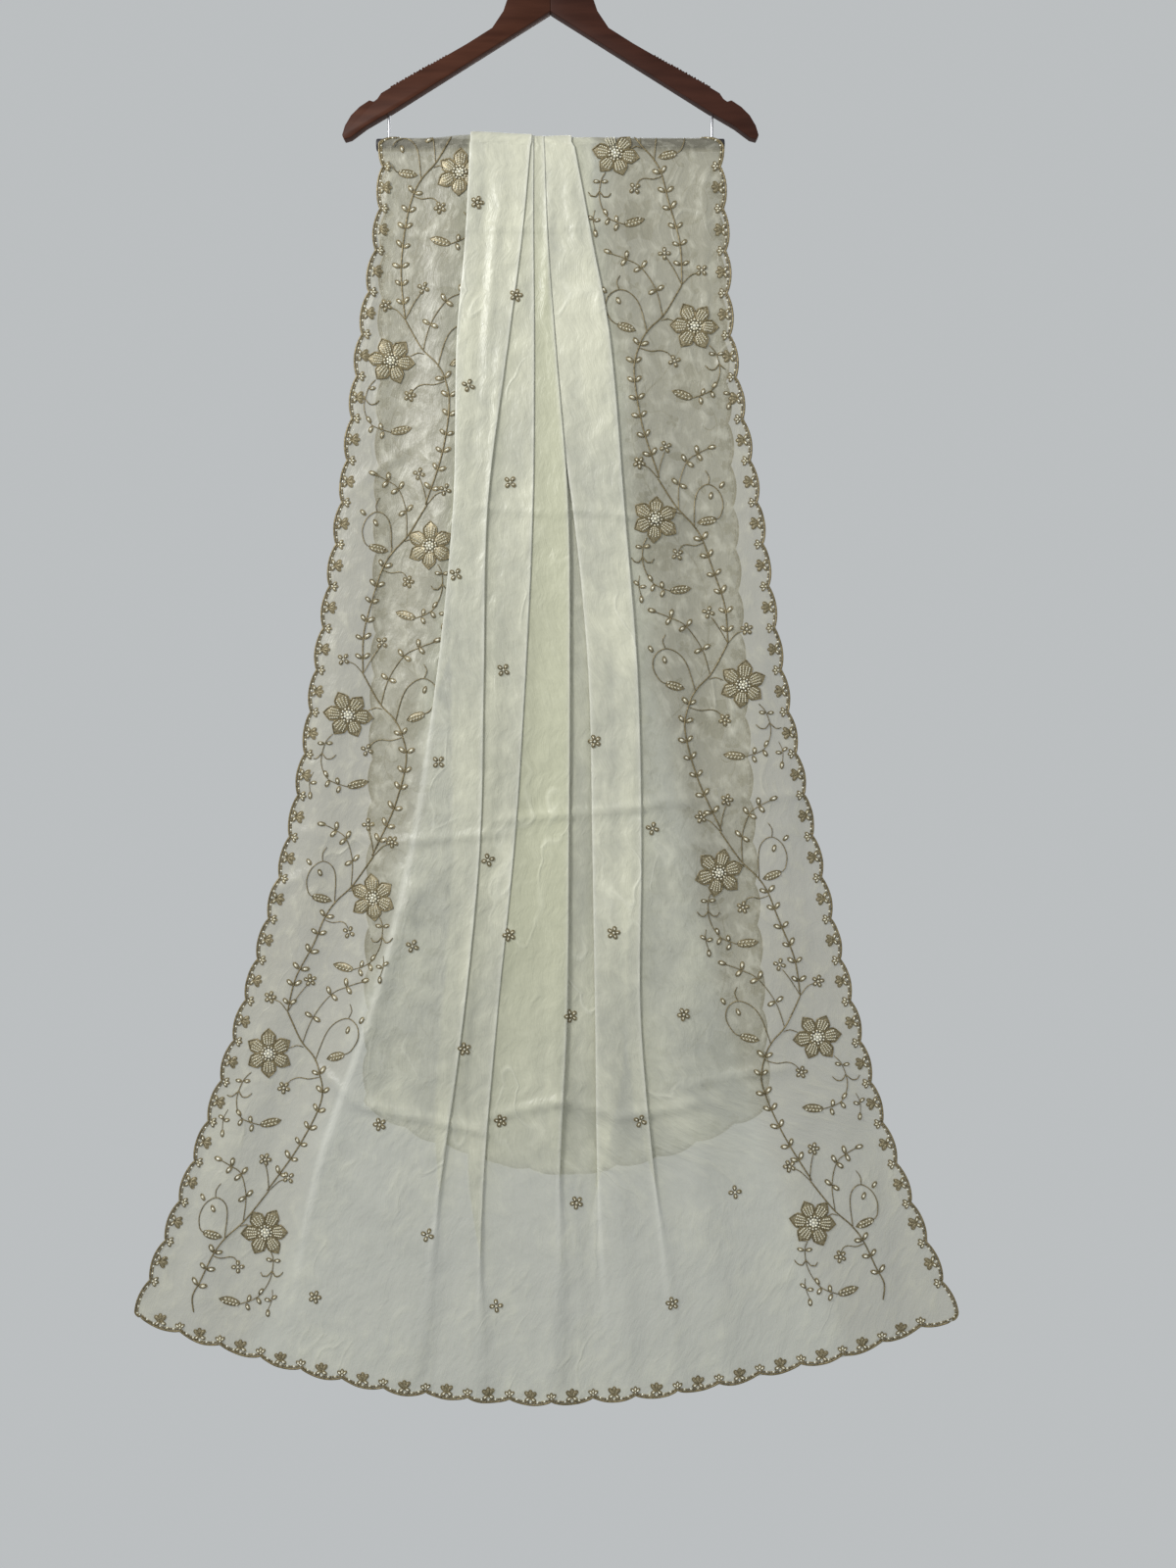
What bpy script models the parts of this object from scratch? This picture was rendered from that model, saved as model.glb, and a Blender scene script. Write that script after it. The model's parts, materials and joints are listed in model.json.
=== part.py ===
# Dupatta stole folded over the trouser bar of a wooden hanger.
# Units are metres, +Z is up and the front of the cloth faces -Y.
# The origin is the inside top of the hook, where a rail bears.

import bisect
import math

import bmesh
import bpy
from mathutils import Vector

# Cloth
CLOTH_WIDTH = 0.920          # selvedge to selvedge, edging included
CLOTH_WALL = 0.0010
EDGING_WIDTH = 0.009         # what the edging adds outside the cloth's edge
SEAM_GAP = 0.0003
TOP_OF_CLOTH = -0.231        # below the rail
FRONT_DROP = 1.341
BACK_DROP = 1.105
FRONT_CORNER_LIFT = 0.089    # how much higher the corners hang than the middle of the hem
BACK_CORNER_LIFT = 0.075
LIFT_POWER = 1.8
LIFT_GROWTH = 2.2

# Pleat stack
INNERMOST_LEVEL = 12
LEVEL_PITCH_TOP = 0.00115
LEVEL_PITCH_LOW = 0.00220
PITCH_SETTLES_AT = 0.45
OPEN_SLOPE = 0.020           # width of an opened pleat's slope at the hem
OPENING_SPREAD = 0.13        # a pleat opens over this far above and below its own drop
BORDER_SETTLES = 0.004       # the borders, one layer thick, lie this far below the stack's middle
TURN_SHARE = 0.25            # of a nearly open pleat's depth, what each of its turns takes
RELAX_FROM = 0.90
RELAX_TO = 1.30
FREE_MARGIN = 0.004
BORDER_WAVE = 0.005
BORDER_WAVES = 1.5

# Scalloped edging
SCALLOP_PITCH = 0.045
SCALLOP_STEPS = 3
SCALLOP_LOW = 0.0035
EDGING_WALL = 0.0012
LEAST_SQUARENESS = 0.3

# Hanger
ARM_THICKNESS = 0.012
GLUE_GAP = 0.0003
WIRE_RADIUS = 0.002
CROOK_RADIUS = 0.019         # centre line of the hook's wire
NECK_TOP = 0.169             # above the top of the cloth
BAR_RADIUS = 0.0065
BAR_HALF = 0.1855
ROD_RADIUS = 0.0015
ROD_X = 0.172
RIB_COUNT = 9
RIB_HEIGHT = 0.0012

INNER_RADIUS = BAR_RADIUS + SEAM_GAP + CLOTH_WALL / 2
BAR_Z = TOP_OF_CLOTH - BORDER_SETTLES - INNER_RADIUS - CLOTH_WALL / 2

# Where the outline and each visible fold lie across the cloth, at drops below its top
COLUMNS = ("drop", "left", "A", "C", "D", "E1", "E2", "F", "right")
FRONT_TABLE = (
    (0.000, -0.182, -0.085, -0.019, -0.017, -0.006, -0.023, 0.023, 0.184),
    (0.110, -0.189, -0.090, -0.029, -0.017, -0.002, -0.017, 0.044, 0.191),
    (0.220, -0.206, -0.099, -0.043, -0.016, 0.006, -0.006, 0.064, 0.197),
    (0.400, -0.227, -0.102, -0.065, -0.017, 0.020, 0.023, 0.079, 0.225),
    (0.580, -0.253, -0.119, -0.069, -0.025, 0.022, 0.040, 0.093, 0.250),
    (0.760, -0.280, -0.143, -0.073, -0.037, 0.021, 0.044, 0.097, 0.282),
    (0.940, -0.323, -0.185, -0.090, -0.055, 0.019, 0.047, 0.096, 0.319),
    (1.120, -0.373, -0.242, -0.115, -0.070, 0.010, 0.050, 0.111, 0.362),
    (1.341, -0.444, -0.284, -0.148, -0.078, 0.005, 0.065, 0.133, 0.435),
)
BACK_TABLE = (
    (0.000, -0.182, -0.085, -0.019, -0.017, -0.006, -0.023, 0.023, 0.184),
    (0.200, -0.186, -0.088, -0.024, -0.012, 0.002, -0.014, 0.036, 0.190),
    (0.500, -0.192, -0.092, -0.030, -0.006, 0.012, -0.004, 0.048, 0.206),
    (0.800, -0.198, -0.096, -0.034, -0.002, 0.020, 0.004, 0.056, 0.222),
    (1.105, -0.203, -0.098, -0.036, 0.000, 0.026, 0.008, 0.062, 0.238),
)

# Each pleat: the way its fold faces, its share of the hidden cloth, the drop at which it
# opens on the front, and the level of its hidden leaf
PLEATS = (
    {"name": "A", "faces": "left", "share": 0.09, "opens": 0.62, "leaf": 1},
    {"name": "C", "faces": "right", "share": 0.17, "opens": 1.15, "leaf": 3},
    {"name": "D", "faces": "right", "share": 0.19, "opens": 1.22, "leaf": 5},
    {"name": "E1", "faces": "right", "share": 0.18, "opens": 1.12, "leaf": 7},
    {"name": "E2", "faces": "left", "share": 0.24, "opens": 1.12, "leaf": 11},
    {"name": "F", "faces": "right", "share": 0.13, "opens": 1.15, "leaf": 9},
)

# Each panel between pleats: its level in the stack, 0 outermost, its distance out at the
# hem once the pleats have opened, and how many points it has inside its ends
PANELS = (
    {"name": "left_border", "level": 2, "hem_left": 0.014, "hem_right": 0.011, "points": 5},
    {"name": "box", "level": 0, "hem_left": 0.020, "hem_right": 0.024, "points": 3},
    {"name": "knife_1", "level": 4, "hem_left": 0.013, "hem_right": 0.022, "points": 2},
    {"name": "knife_2", "level": 6, "hem_left": 0.012, "hem_right": 0.021, "points": 2},
    {"name": "recess", "level": 12, "hem_left": 0.010, "hem_right": 0.010, "points": 2},
    {"name": "right_panel", "level": 8, "hem_left": 0.018, "hem_right": 0.021, "points": 2},
    {"name": "right_border", "level": 10, "hem_left": 0.011, "hem_right": 0.014, "points": 6},
)

# How the cloth turns over the bar: the angle from straight up, and the outline there, which
# stays inside the two rods until it is clear of them
BAR_TURN = (
    {"angle": 0.0, "half": 0.1693},
    {"angle": 22.5, "half": 0.1693},
    {"angle": 45.0, "half": 0.1750},
    {"angle": 67.5, "half": 0.1795},
    {"angle": 90.0, "half": 0.1830},
)
FRONT_ROWS = (0.05, 0.10, 0.16, 0.22, 0.28, 0.34, 0.40, 0.46, 0.52, 0.57, 0.60, 0.63, 0.70, 0.76,
              0.82, 0.88, 0.94, 1.00, 1.05, 1.10, 1.15, 1.20, 1.25, 1.295, FRONT_DROP)
BACK_ROWS = (0.05, 0.12, 0.20, 0.30, 0.40, 0.50, 0.60, 0.70, 0.80, 0.90, 1.00, BACK_DROP)

# Half of the hanger's outline from the neck to the tip and back, out from the glue line and
# up from the top of the cloth; the right half mirrors it
NECK_CURVE = ((0.024, 0.169), (0.036, 0.163), (0.043, 0.150), (0.050, 0.129), (0.062, 0.111),
              (0.088, 0.0945), (0.128, 0.0715))
RIBS_END = (0.170, 0.0475)
SHOULDER_NOTCH = ((0.180, 0.0415), (0.184, 0.0355), (0.188, 0.0325), (0.1925, 0.0340))
TIP_CURVE = ((0.203, 0.027), (0.212, 0.018), (0.2185, 0.007), (0.2215, -0.003),
             (0.2190, -0.0075), (0.212, -0.0055), (0.196, 0.0065), (0.167, 0.0235))
UNDER_APEX = 0.1285


def clear_scene():
    for thing in list(bpy.data.objects):
        bpy.data.objects.remove(thing, do_unlink=True)


def plain_material(name, colour, roughness, metallic=0.0):
    material = bpy.data.materials.new(name)
    material.use_nodes = True
    shader = material.node_tree.nodes["Principled BSDF"]
    shader.inputs["Base Color"].default_value = (*colour, 1.0)
    shader.inputs["Roughness"].default_value = roughness
    shader.inputs["Metallic"].default_value = metallic
    return material


def smoothstep(low, high, value):
    t = min(1.0, max(0.0, (value - low) / (high - low)))
    return t * t * (3.0 - 2.0 * t)


def mix(a, b, t):
    return a + (b - a) * t


def table_row(table, drop):
    """One row of a fold table at any drop, read along a smooth curve through its rows."""
    drops = [row[0] for row in table]
    i = min(max(bisect.bisect_right(drops, drop) - 1, 0), len(table) - 2)
    t = min(1.0, max(0.0, (drop - drops[i]) / (drops[i + 1] - drops[i])))
    row = {}
    for column, name in enumerate(COLUMNS):
        a, b = table[i][column], table[i + 1][column]
        before = table[max(i - 1, 0)]
        after = table[min(i + 2, len(table) - 1)]
        span = drops[i + 1] - drops[i]
        slope_a = (b - before[column]) / (drops[i + 1] - before[0]) * span
        slope_b = (after[column] - a) / (after[0] - drops[i]) * span
        t2, t3 = t * t, t * t * t
        row[name] = ((2 * t3 - 3 * t2 + 1) * a + (t3 - 2 * t2 + t) * slope_a
                     + (3 * t2 - 2 * t3) * b + (t3 - t2) * slope_b)
    return row


def level_depth(level, drop):
    """Distance of a layer from the bar's middle plane, out towards the viewer."""
    pitch = mix(LEVEL_PITCH_TOP, LEVEL_PITCH_LOW, smoothstep(0.0, PITCH_SETTLES_AT, drop))
    return INNER_RADIUS + (INNERMOST_LEVEL - level) * pitch


def pleat_underlap(pleat, hidden, drop, opens):
    """How far a pleat's hidden leaf reaches behind its fold; below zero it lies open."""
    underlap = pleat["share"] * hidden
    if not opens:
        return underlap
    opened = smoothstep(pleat["opens"] - OPENING_SPREAD, pleat["opens"] + OPENING_SPREAD, drop)
    return mix(underlap, -OPEN_SLOPE, opened)


def panel_depths(panel, drop, opens):
    depth = level_depth(panel["level"], drop)
    relax = smoothstep(RELAX_FROM, RELAX_TO, drop) if opens else 0.0
    return mix(depth, panel["hem_left"], relax), mix(depth, panel["hem_right"], relax)


def pleat_points(i, right_x, left_x, underlap, depth_a, depth_b):
    """The two inner corners of a Z fold, between the panel that ends at right_x and the
    panel that starts at left_x."""
    shift = max(0.0, -underlap) / 3.0
    before, after = PANELS[i]["level"], PANELS[i + 1]["level"]
    leaf = mix(depth_a, depth_b, (PLEATS[i]["leaf"] - before) / (after - before))
    slant = 1.0 - smoothstep(0.008, 0.020, underlap)
    first = mix(leaf, mix(depth_a, depth_b, TURN_SHARE), slant)
    second = mix(leaf, mix(depth_a, depth_b, 1.0 - TURN_SHARE), slant)
    return (right_x + shift, first), (left_x - shift, second)


def cloth_path(row, drop, opens):
    """The middle line of the cloth across one section, as (x, distance out)."""
    left = row["left"] + EDGING_WIDTH
    right = row["right"] - EDGING_WIDTH
    hidden = (CLOTH_WIDTH - (row["right"] - row["left"])) / 2.0
    underlaps = [pleat_underlap(p, hidden, drop, opens) for p in PLEATS]
    starts = [left]
    ends = []
    for pleat, underlap in zip(PLEATS, underlaps):
        fold = row[pleat["name"]]
        if pleat["faces"] == "right":
            ends.append(fold)
            starts.append(fold - underlap)
        else:
            ends.append(fold + underlap)
            starts.append(fold)
    ends.append(right)
    free_left = min([row["A"]] + starts[1:5]) - FREE_MARGIN
    free_right = max(row["F"], ends[4], starts[6]) + FREE_MARGIN
    path = []
    for i, panel in enumerate(PANELS):
        a, b = panel_depths(panel, drop, opens)
        count = panel["points"] + 2
        for k in range(count):
            t = k / (count - 1)
            x = mix(starts[i], ends[i], t)
            depth = mix(a, b, smoothstep(0.0, 1.0, t))
            if i == 0:
                depth = border_depth(depth, left, free_left, x, drop)
            if i == len(PANELS) - 1:
                depth = border_depth(depth, right, free_right, x, drop)
            path.append((x, depth))
        if i < len(PLEATS):
            next_a = panel_depths(PANELS[i + 1], drop, opens)[0]
            path.extend(pleat_points(i, ends[i], starts[i + 1], underlaps[i], b, next_a))
    return path


def border_depth(depth, edge_x, free_x, x, drop):
    """Past the stack a border settles back to the bar's own plane, in shallow waves."""
    t = min(1.0, max(0.0, (x - free_x) / (edge_x - free_x)))
    wave = BORDER_WAVE * smoothstep(0.05, 0.7, drop) * (
        0.5 - 0.5 * math.cos(2.0 * math.pi * BORDER_WAVES * t + 3.0 * drop))
    return mix(depth, INNER_RADIUS + wave, smoothstep(0.0, 0.55, t))


def offset_sides(path, wall):
    """Both faces of a wall round a flat path, with mitred corners."""
    normals = []
    for (x0, d0), (x1, d1) in zip(path, path[1:]):
        length = math.hypot(x1 - x0, d1 - d0)
        normals.append((-(d1 - d0) / length, (x1 - x0) / length))
    sides = []
    for i, (x, depth) in enumerate(path):
        na = normals[max(i - 1, 0)]
        nb = normals[min(i, len(normals) - 1)]
        scale = wall / 2.0 / max(0.35, 1.0 + na[0] * nb[0] + na[1] * nb[1])
        mx, md = (na[0] + nb[0]) * scale, (na[1] + nb[1]) * scale
        sides.append(((x + mx, depth + md), (x - mx, depth - md)))
    return sides


def cloth_rows(table, rows, drop_length, lift, facing, opens):
    """Every section of a drop: its path's two faces placed in the world."""
    sections = []
    for turn in BAR_TURN:
        row = dict(table_row(table, 0.0), left=-turn["half"], right=turn["half"])
        angle = math.radians(turn["angle"])
        sides = offset_sides(cloth_path(row, 0.0, opens), CLOTH_WALL)
        sections.append([
            [Vector((x, facing * (d * math.sin(angle) + SEAM_GAP / 2), BAR_Z + d * math.cos(angle)))
             for x, d in pair] for pair in sides])
    for drop in rows:
        row = table_row(table, drop)
        centre = (row["left"] + row["right"]) / 2.0
        half = (row["right"] - row["left"]) / 2.0
        raise_by = lift * (drop / drop_length) ** LIFT_GROWTH
        sides = offset_sides(cloth_path(row, drop, opens), CLOTH_WALL)
        section = []
        for pair in sides:
            middle = (pair[0][0] + pair[1][0]) / 2.0
            z = TOP_OF_CLOTH - drop + raise_by * min(1.0, abs(middle - centre) / half) ** LIFT_POWER
            section.append([Vector((x, facing * (d + SEAM_GAP / 2), z)) for x, d in pair])
        sections.append(section)
    return sections


def wall_object(name, sections, material):
    """A closed wall through sections, each a row of (outer, inner) points."""
    mesh = bmesh.new()
    rings = []
    for section in sections:
        loop = [outer for outer, inner in section] + [inner for outer, inner in reversed(section)]
        rings.append([mesh.verts.new(point) for point in loop])
    count = len(rings[0])
    for upper, lower in zip(rings, rings[1:]):
        for i in range(count):
            k = (i + 1) % count
            mesh.faces.new((upper[i], upper[k], lower[k], lower[i]))
    for ring in (rings[0], rings[-1]):
        for i in range(count // 2 - 1):
            mesh.faces.new((ring[i], ring[i + 1], ring[count - 2 - i], ring[count - 1 - i]))
    bmesh.ops.triangulate(mesh, faces=mesh.faces)
    bmesh.ops.recalc_face_normals(mesh, faces=mesh.faces)
    return finish_object(name, mesh, material)


def finish_object(name, mesh, material):
    data = bpy.data.meshes.new(name)
    mesh.to_mesh(data)
    mesh.free()
    data.materials.append(material)
    thing = bpy.data.objects.new(name, data)
    bpy.context.scene.collection.objects.link(thing)
    return thing


def scallop_reach(length):
    """How far the edging's outer edge stands out at a length along it."""
    phase = (length / SCALLOP_PITCH) % 1.0
    return mix(SCALLOP_LOW, EDGING_WIDTH, math.sin(math.pi * phase) ** 0.7)


def scallop_stops(lengths, keep):
    """Places along an edge, as a length: the scallops' own and those of the cloth's corners."""
    step = SCALLOP_PITCH / SCALLOP_STEPS
    total = lengths[-1]
    stops = [k * step for k in range(int(total / step) + 1)]
    kept = [lengths[i] for i in keep]
    stops = [s for s in stops if all(abs(s - other) > 0.002 for other in kept)]
    return sorted(stops + kept)


def along(points, lengths, length):
    i = min(max(bisect.bisect_right(lengths, length) - 1, 0), len(points) - 2)
    t = (length - lengths[i]) / (lengths[i + 1] - lengths[i])
    return [a.lerp(b, t) for a, b in zip(points[i], points[i + 1])]


def edge_squareness(frames, lengths, length, out):
    """The sine of the angle between an edge and the way out of it."""
    sines = []
    for nearby in (length - SEAM_GAP, length + SEAM_GAP):
        i = min(max(bisect.bisect_right(lengths, nearby) - 1, 0), len(frames) - 2)
        run = (frames[i + 1][0] - frames[i][0]).normalized()
        sines.append(run.cross(out).length)
    return min(sines)


def edging_object(name, frames, keep, material, tail=0.0):
    """A scalloped strip outside an edge. Each frame is the edge's middle, the way out and
    the way through the wall; tail lengthens the strip past the last frame."""
    if tail:
        last = frames[-1]
        down = (last[0] - frames[-2][0]).normalized()
        frames = frames + [[last[0] + down * tail, last[1], last[2]]]
    lengths = [0.0]
    for a, b in zip(frames, frames[1:]):
        lengths.append(lengths[-1] + (b[0] - a[0]).length)
    keep = set(keep) | {0, len(frames) - 2, len(frames) - 1}
    sections = []
    for stop in scallop_stops(lengths, sorted(keep)):
        middle, out, through = along(frames, lengths, stop)
        out.normalize()
        gap = SEAM_GAP / max(LEAST_SQUARENESS, edge_squareness(frames, lengths, stop, out))
        root = middle + out * gap
        rim = middle + out * (gap + scallop_reach(stop))
        half = through * (EDGING_WALL / 2.0)
        sections.append([[root + half, root - half], [rim + half, rim - half]])
    return wall_object(name, sections, material)


def side_frames(sections, end):
    """The frames of a side edge: end is 0 for the left edge and -1 for the right one."""
    frames = []
    for section in sections:
        outer, inner = section[end]
        neighbour = section[1] if end == 0 else section[-2]
        middle = (outer + inner) / 2.0
        out = (middle - (neighbour[0] + neighbour[1]) / 2.0).normalized()
        frames.append([middle, out, (outer - inner).normalized()])
    return frames


def hem_frames(section):
    frames = []
    for outer, inner in section:
        through = (outer - inner) / CLOTH_WALL
        frames.append([(outer + inner) / 2.0, Vector((0.0, 0.0, -1.0)), through])
    return frames


def make_drop(name, table, rows, drop_length, lift, facing, opens, cloth, trim):
    sections = cloth_rows(table, rows, drop_length, lift, facing, opens)
    wall_object("cloth_" + name, sections, cloth)
    every_row = range(len(sections))
    tail = EDGING_WIDTH
    edging_object("edging_" + name + "_left", side_frames(sections, 0), every_row, trim, tail)
    edging_object("edging_" + name + "_right", side_frames(sections, -1), every_row, trim, tail)
    hem = hem_frames(sections[-1])
    edging_object("edging_" + name + "_hem", hem, range(len(hem)), trim)


def arm_outline():
    """Half of the hanger's outline, out from the glue line."""
    glue = GLUE_GAP / 2.0
    points = [(glue, NECK_TOP)]
    points.extend(NECK_CURVE)
    start, end = NECK_CURVE[-1], RIBS_END
    for k in range(RIB_COUNT * 2 + 1):
        t = k / (RIB_COUNT * 2)
        height = RIB_HEIGHT if k % 2 else 0.0
        if k:
            points.append((mix(start[0], end[0], t), mix(start[1], end[1], t) + height))
    points.extend(SHOULDER_NOTCH)
    points.extend(TIP_CURVE)
    points.append((glue, UNDER_APEX))
    return points


def make_arm(name, side, material):
    mesh = bmesh.new()
    verts = [mesh.verts.new((side * x, -ARM_THICKNESS / 2, TOP_OF_CLOTH + z))
             for x, z in arm_outline()]
    face = mesh.faces.new(verts)
    out = bmesh.ops.extrude_face_region(mesh, geom=[face])
    moved = [g for g in out["geom"] if isinstance(g, bmesh.types.BMVert)]
    bmesh.ops.translate(mesh, verts=moved, vec=(0.0, ARM_THICKNESS, 0.0))
    bmesh.ops.recalc_face_normals(mesh, faces=mesh.faces)
    return finish_object(name, mesh, material)


def wire_object(name, points, radius, resolution, material):
    curve = bpy.data.curves.new(name, "CURVE")
    curve.dimensions = "3D"
    curve.bevel_depth = radius
    curve.bevel_resolution = resolution
    curve.use_fill_caps = True
    spline = curve.splines.new("POLY")
    spline.points.add(len(points) - 1)
    for point, place in zip(spline.points, points):
        point.co = (*place, 1.0)
    curve.materials.append(material)
    thing = bpy.data.objects.new(name, curve)
    bpy.context.scene.collection.objects.link(thing)
    return thing


def hook_points():
    """Up from the neck, out to one side and round over the rail."""
    centre = WIRE_RADIUS - CROOK_RADIUS
    foot = TOP_OF_CLOTH + NECK_TOP + SEAM_GAP
    points = [(0.0, 0.0, foot), (0.0, 0.0, foot + 0.009), (0.0015, 0.0, foot + 0.0150),
              (0.0060, 0.0, foot + 0.0215)]
    for degrees in range(-52, 211, 14):
        angle = math.radians(degrees)
        points.append((CROOK_RADIUS * math.cos(angle), 0.0, centre + CROOK_RADIUS * math.sin(angle)))
    return points


def make_bar(material):
    mesh = bmesh.new()
    bmesh.ops.create_cone(mesh, cap_ends=True, segments=16, radius1=BAR_RADIUS,
                          radius2=BAR_RADIUS, depth=2.0 * BAR_HALF)
    for vert in mesh.verts:
        x, y, z = vert.co
        vert.co = (z, y, BAR_Z - x)
    bmesh.ops.recalc_face_normals(mesh, faces=mesh.faces)
    return finish_object("trouser_bar", mesh, material)


def underside_height(x):
    """The height of the arm's underside at a distance from the glue line."""
    (x0, z0), (x1, z1) = TIP_CURVE[-2], TIP_CURVE[-1]
    return TOP_OF_CLOTH + mix(z0, z1, (x - x0) / (x1 - x0))


def make_hanger():
    wood = plain_material("varnished_wood", (0.11, 0.045, 0.032), 0.35)
    steel = plain_material("steel", (0.55, 0.55, 0.55), 0.3, 1.0)
    make_arm("hanger_arm_left", -1.0, wood)
    make_arm("hanger_arm_right", 1.0, wood)
    wire_object("hook", hook_points(), WIRE_RADIUS, 2, steel)
    make_bar(steel)
    rod_top = underside_height(ROD_X + ROD_RADIUS) - SEAM_GAP
    rod_foot = BAR_Z + BAR_RADIUS + SEAM_GAP
    for name, side in (("rod_left", -1.0), ("rod_right", 1.0)):
        ends = [(side * ROD_X, 0.0, rod_foot), (side * ROD_X, 0.0, rod_top)]
        wire_object(name, ends, ROD_RADIUS, 2, steel)


def make_cloth():
    cloth = plain_material("organza", (0.66, 0.66, 0.57), 0.5)
    trim = plain_material("gold_edging", (0.42, 0.34, 0.21), 0.45, 0.6)
    make_drop("front", FRONT_TABLE, FRONT_ROWS, FRONT_DROP, FRONT_CORNER_LIFT, -1.0, True,
              cloth, trim)
    make_drop("back", BACK_TABLE, BACK_ROWS, BACK_DROP, BACK_CORNER_LIFT, 1.0, False,
              cloth, trim)


clear_scene()
make_hanger()
make_cloth()
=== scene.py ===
import bisect
import itertools
import json
import math
import random

import bmesh
import bpy
import numpy
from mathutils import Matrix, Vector, noise

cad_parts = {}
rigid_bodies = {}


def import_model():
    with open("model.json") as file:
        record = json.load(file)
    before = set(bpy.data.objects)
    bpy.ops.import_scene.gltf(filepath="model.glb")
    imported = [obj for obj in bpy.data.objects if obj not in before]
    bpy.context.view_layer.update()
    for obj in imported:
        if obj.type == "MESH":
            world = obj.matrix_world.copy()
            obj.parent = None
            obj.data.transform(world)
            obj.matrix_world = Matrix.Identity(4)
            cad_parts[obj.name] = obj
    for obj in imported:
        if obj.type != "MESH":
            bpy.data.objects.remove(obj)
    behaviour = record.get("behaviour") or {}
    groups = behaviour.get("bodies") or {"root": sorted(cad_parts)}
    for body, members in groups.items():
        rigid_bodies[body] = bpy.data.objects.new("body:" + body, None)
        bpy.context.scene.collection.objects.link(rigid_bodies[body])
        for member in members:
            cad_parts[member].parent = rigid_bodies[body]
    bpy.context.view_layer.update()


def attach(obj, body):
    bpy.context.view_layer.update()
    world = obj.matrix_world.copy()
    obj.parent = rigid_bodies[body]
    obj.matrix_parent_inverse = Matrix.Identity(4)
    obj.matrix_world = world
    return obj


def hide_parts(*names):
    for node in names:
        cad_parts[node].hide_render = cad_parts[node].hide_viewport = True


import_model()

sceneObjects = bpy.context.scene.collection.objects
rng = random.Random(11)


# camera, lights and floor

stageSettings = {
    "cameraPlace": (0.040, -1.765, -0.924),  # straight in front, level with the photo's middle
    "lens": 38.0,
    "worldColour": (0.50, 0.52, 0.53),
    "worldStrength": 1.0,
    "lamps": {
        "keyLight": {"place": (-1.35, -1.35, 0.28), "size": 0.7, "power": 30.0},
        "fillLight": {"place": (1.5, -1.6, 0.5), "size": 1.4, "power": 3.0},
        "rearLight": {"place": (0.3, 2.0, 0.5), "size": 1.4, "power": 16.0},
    },
    "aimedAt": (0.0, 0.0, -0.85),
    "floorHeight": -2.30,
    "floorRadius": 1.1,
    "floorSides": 96,
    "floorColour": (0.56, 0.57, 0.57),
    "floorRoughness": 0.9,
}


def areaLight(name, place, size, power):
    lamp = bpy.data.lights.new(name, "AREA")
    lamp.shape = "DISK"
    lamp.size = size
    lamp.energy = power
    holder = bpy.data.objects.new(name, lamp)
    holder.location = place
    heading = Vector(stageSettings["aimedAt"]) - Vector(place)
    holder.rotation_euler = heading.to_track_quat("-Z", "Y").to_euler()
    sceneObjects.link(holder)


def buildStage():
    s = stageSettings
    camera = bpy.data.objects.new("camera", bpy.data.cameras.new("camera"))
    camera.location = s["cameraPlace"]
    camera.rotation_euler = (math.radians(90.0), 0.0, 0.0)
    camera.data.lens = s["lens"]
    sceneObjects.link(camera)
    bpy.context.scene.camera = camera
    bpy.context.scene.view_settings.view_transform = "Standard"
    world = bpy.data.worlds.new("paleStudio")
    world.use_nodes = True
    background = world.node_tree.nodes["Background"]
    background.inputs["Color"].default_value = (*s["worldColour"], 1.0)
    background.inputs["Strength"].default_value = s["worldStrength"]
    bpy.context.scene.world = world
    for name, lamp in s["lamps"].items():
        areaLight(name, **lamp)
    bpy.ops.object.select_all(action="DESELECT")
    bpy.ops.mesh.primitive_circle_add(vertices=s["floorSides"], radius=s["floorRadius"],
                                      fill_type="NGON", location=(0.0, 0.0, s["floorHeight"]))
    floor = bpy.context.object
    floor.name = "floor"
    floor.data.materials.append(floorMaterial())


def newMaterial(name):
    material = bpy.data.materials.new(name)
    material.use_nodes = True
    return material, material.node_tree, material.node_tree.nodes["Principled BSDF"]


def floorMaterial():
    material, tree, shader = newMaterial("paleFloor")
    shader.inputs["Base Color"].default_value = (*stageSettings["floorColour"], 1.0)
    shader.inputs["Roughness"].default_value = stageSettings["floorRoughness"]
    return material


# the shape of the cloth, as the solids have it: sizes in metres

clothSizes = {
    "width": 0.920,
    "edging": 0.009,
    "wall": 0.0010,
    "seamGap": 0.0003,
    "top": -0.231,
    "barRadius": 0.0065,
    "borderSettles": 0.004,
    "innermostLevel": 12,
    "pitchTop": 0.00115,
    "pitchLow": 0.00220,
    "pitchSettles": 0.45,
    "pressed": 0.28,
    "openSlope": 0.022,
    "openingSpread": 0.13,
    "turnShare": 0.25,
    "relaxFrom": 0.90,
    "relaxTo": 1.30,
    "freeMargin": 0.004,
    "borderWave": 0.005,
    "borderWaves": 1.5,
    "waveDrift": 3.0,
    "waveFrom": 0.05,
    "waveTo": 0.7,
    "borderFree": 0.55,
    "slantFrom": 0.008,
    "slantTo": 0.020,
    "crowding": 0.09,  # how much closer the points lie near the folds
    "leafPoints": 7,
    "liftPower": 1.8,
    "liftGrowth": 2.2,
}
innerRadius = clothSizes["barRadius"] + clothSizes["seamGap"] + clothSizes["wall"] / 2
barHeight = clothSizes["top"] - clothSizes["borderSettles"] - innerRadius - clothSizes["wall"] / 2

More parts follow.
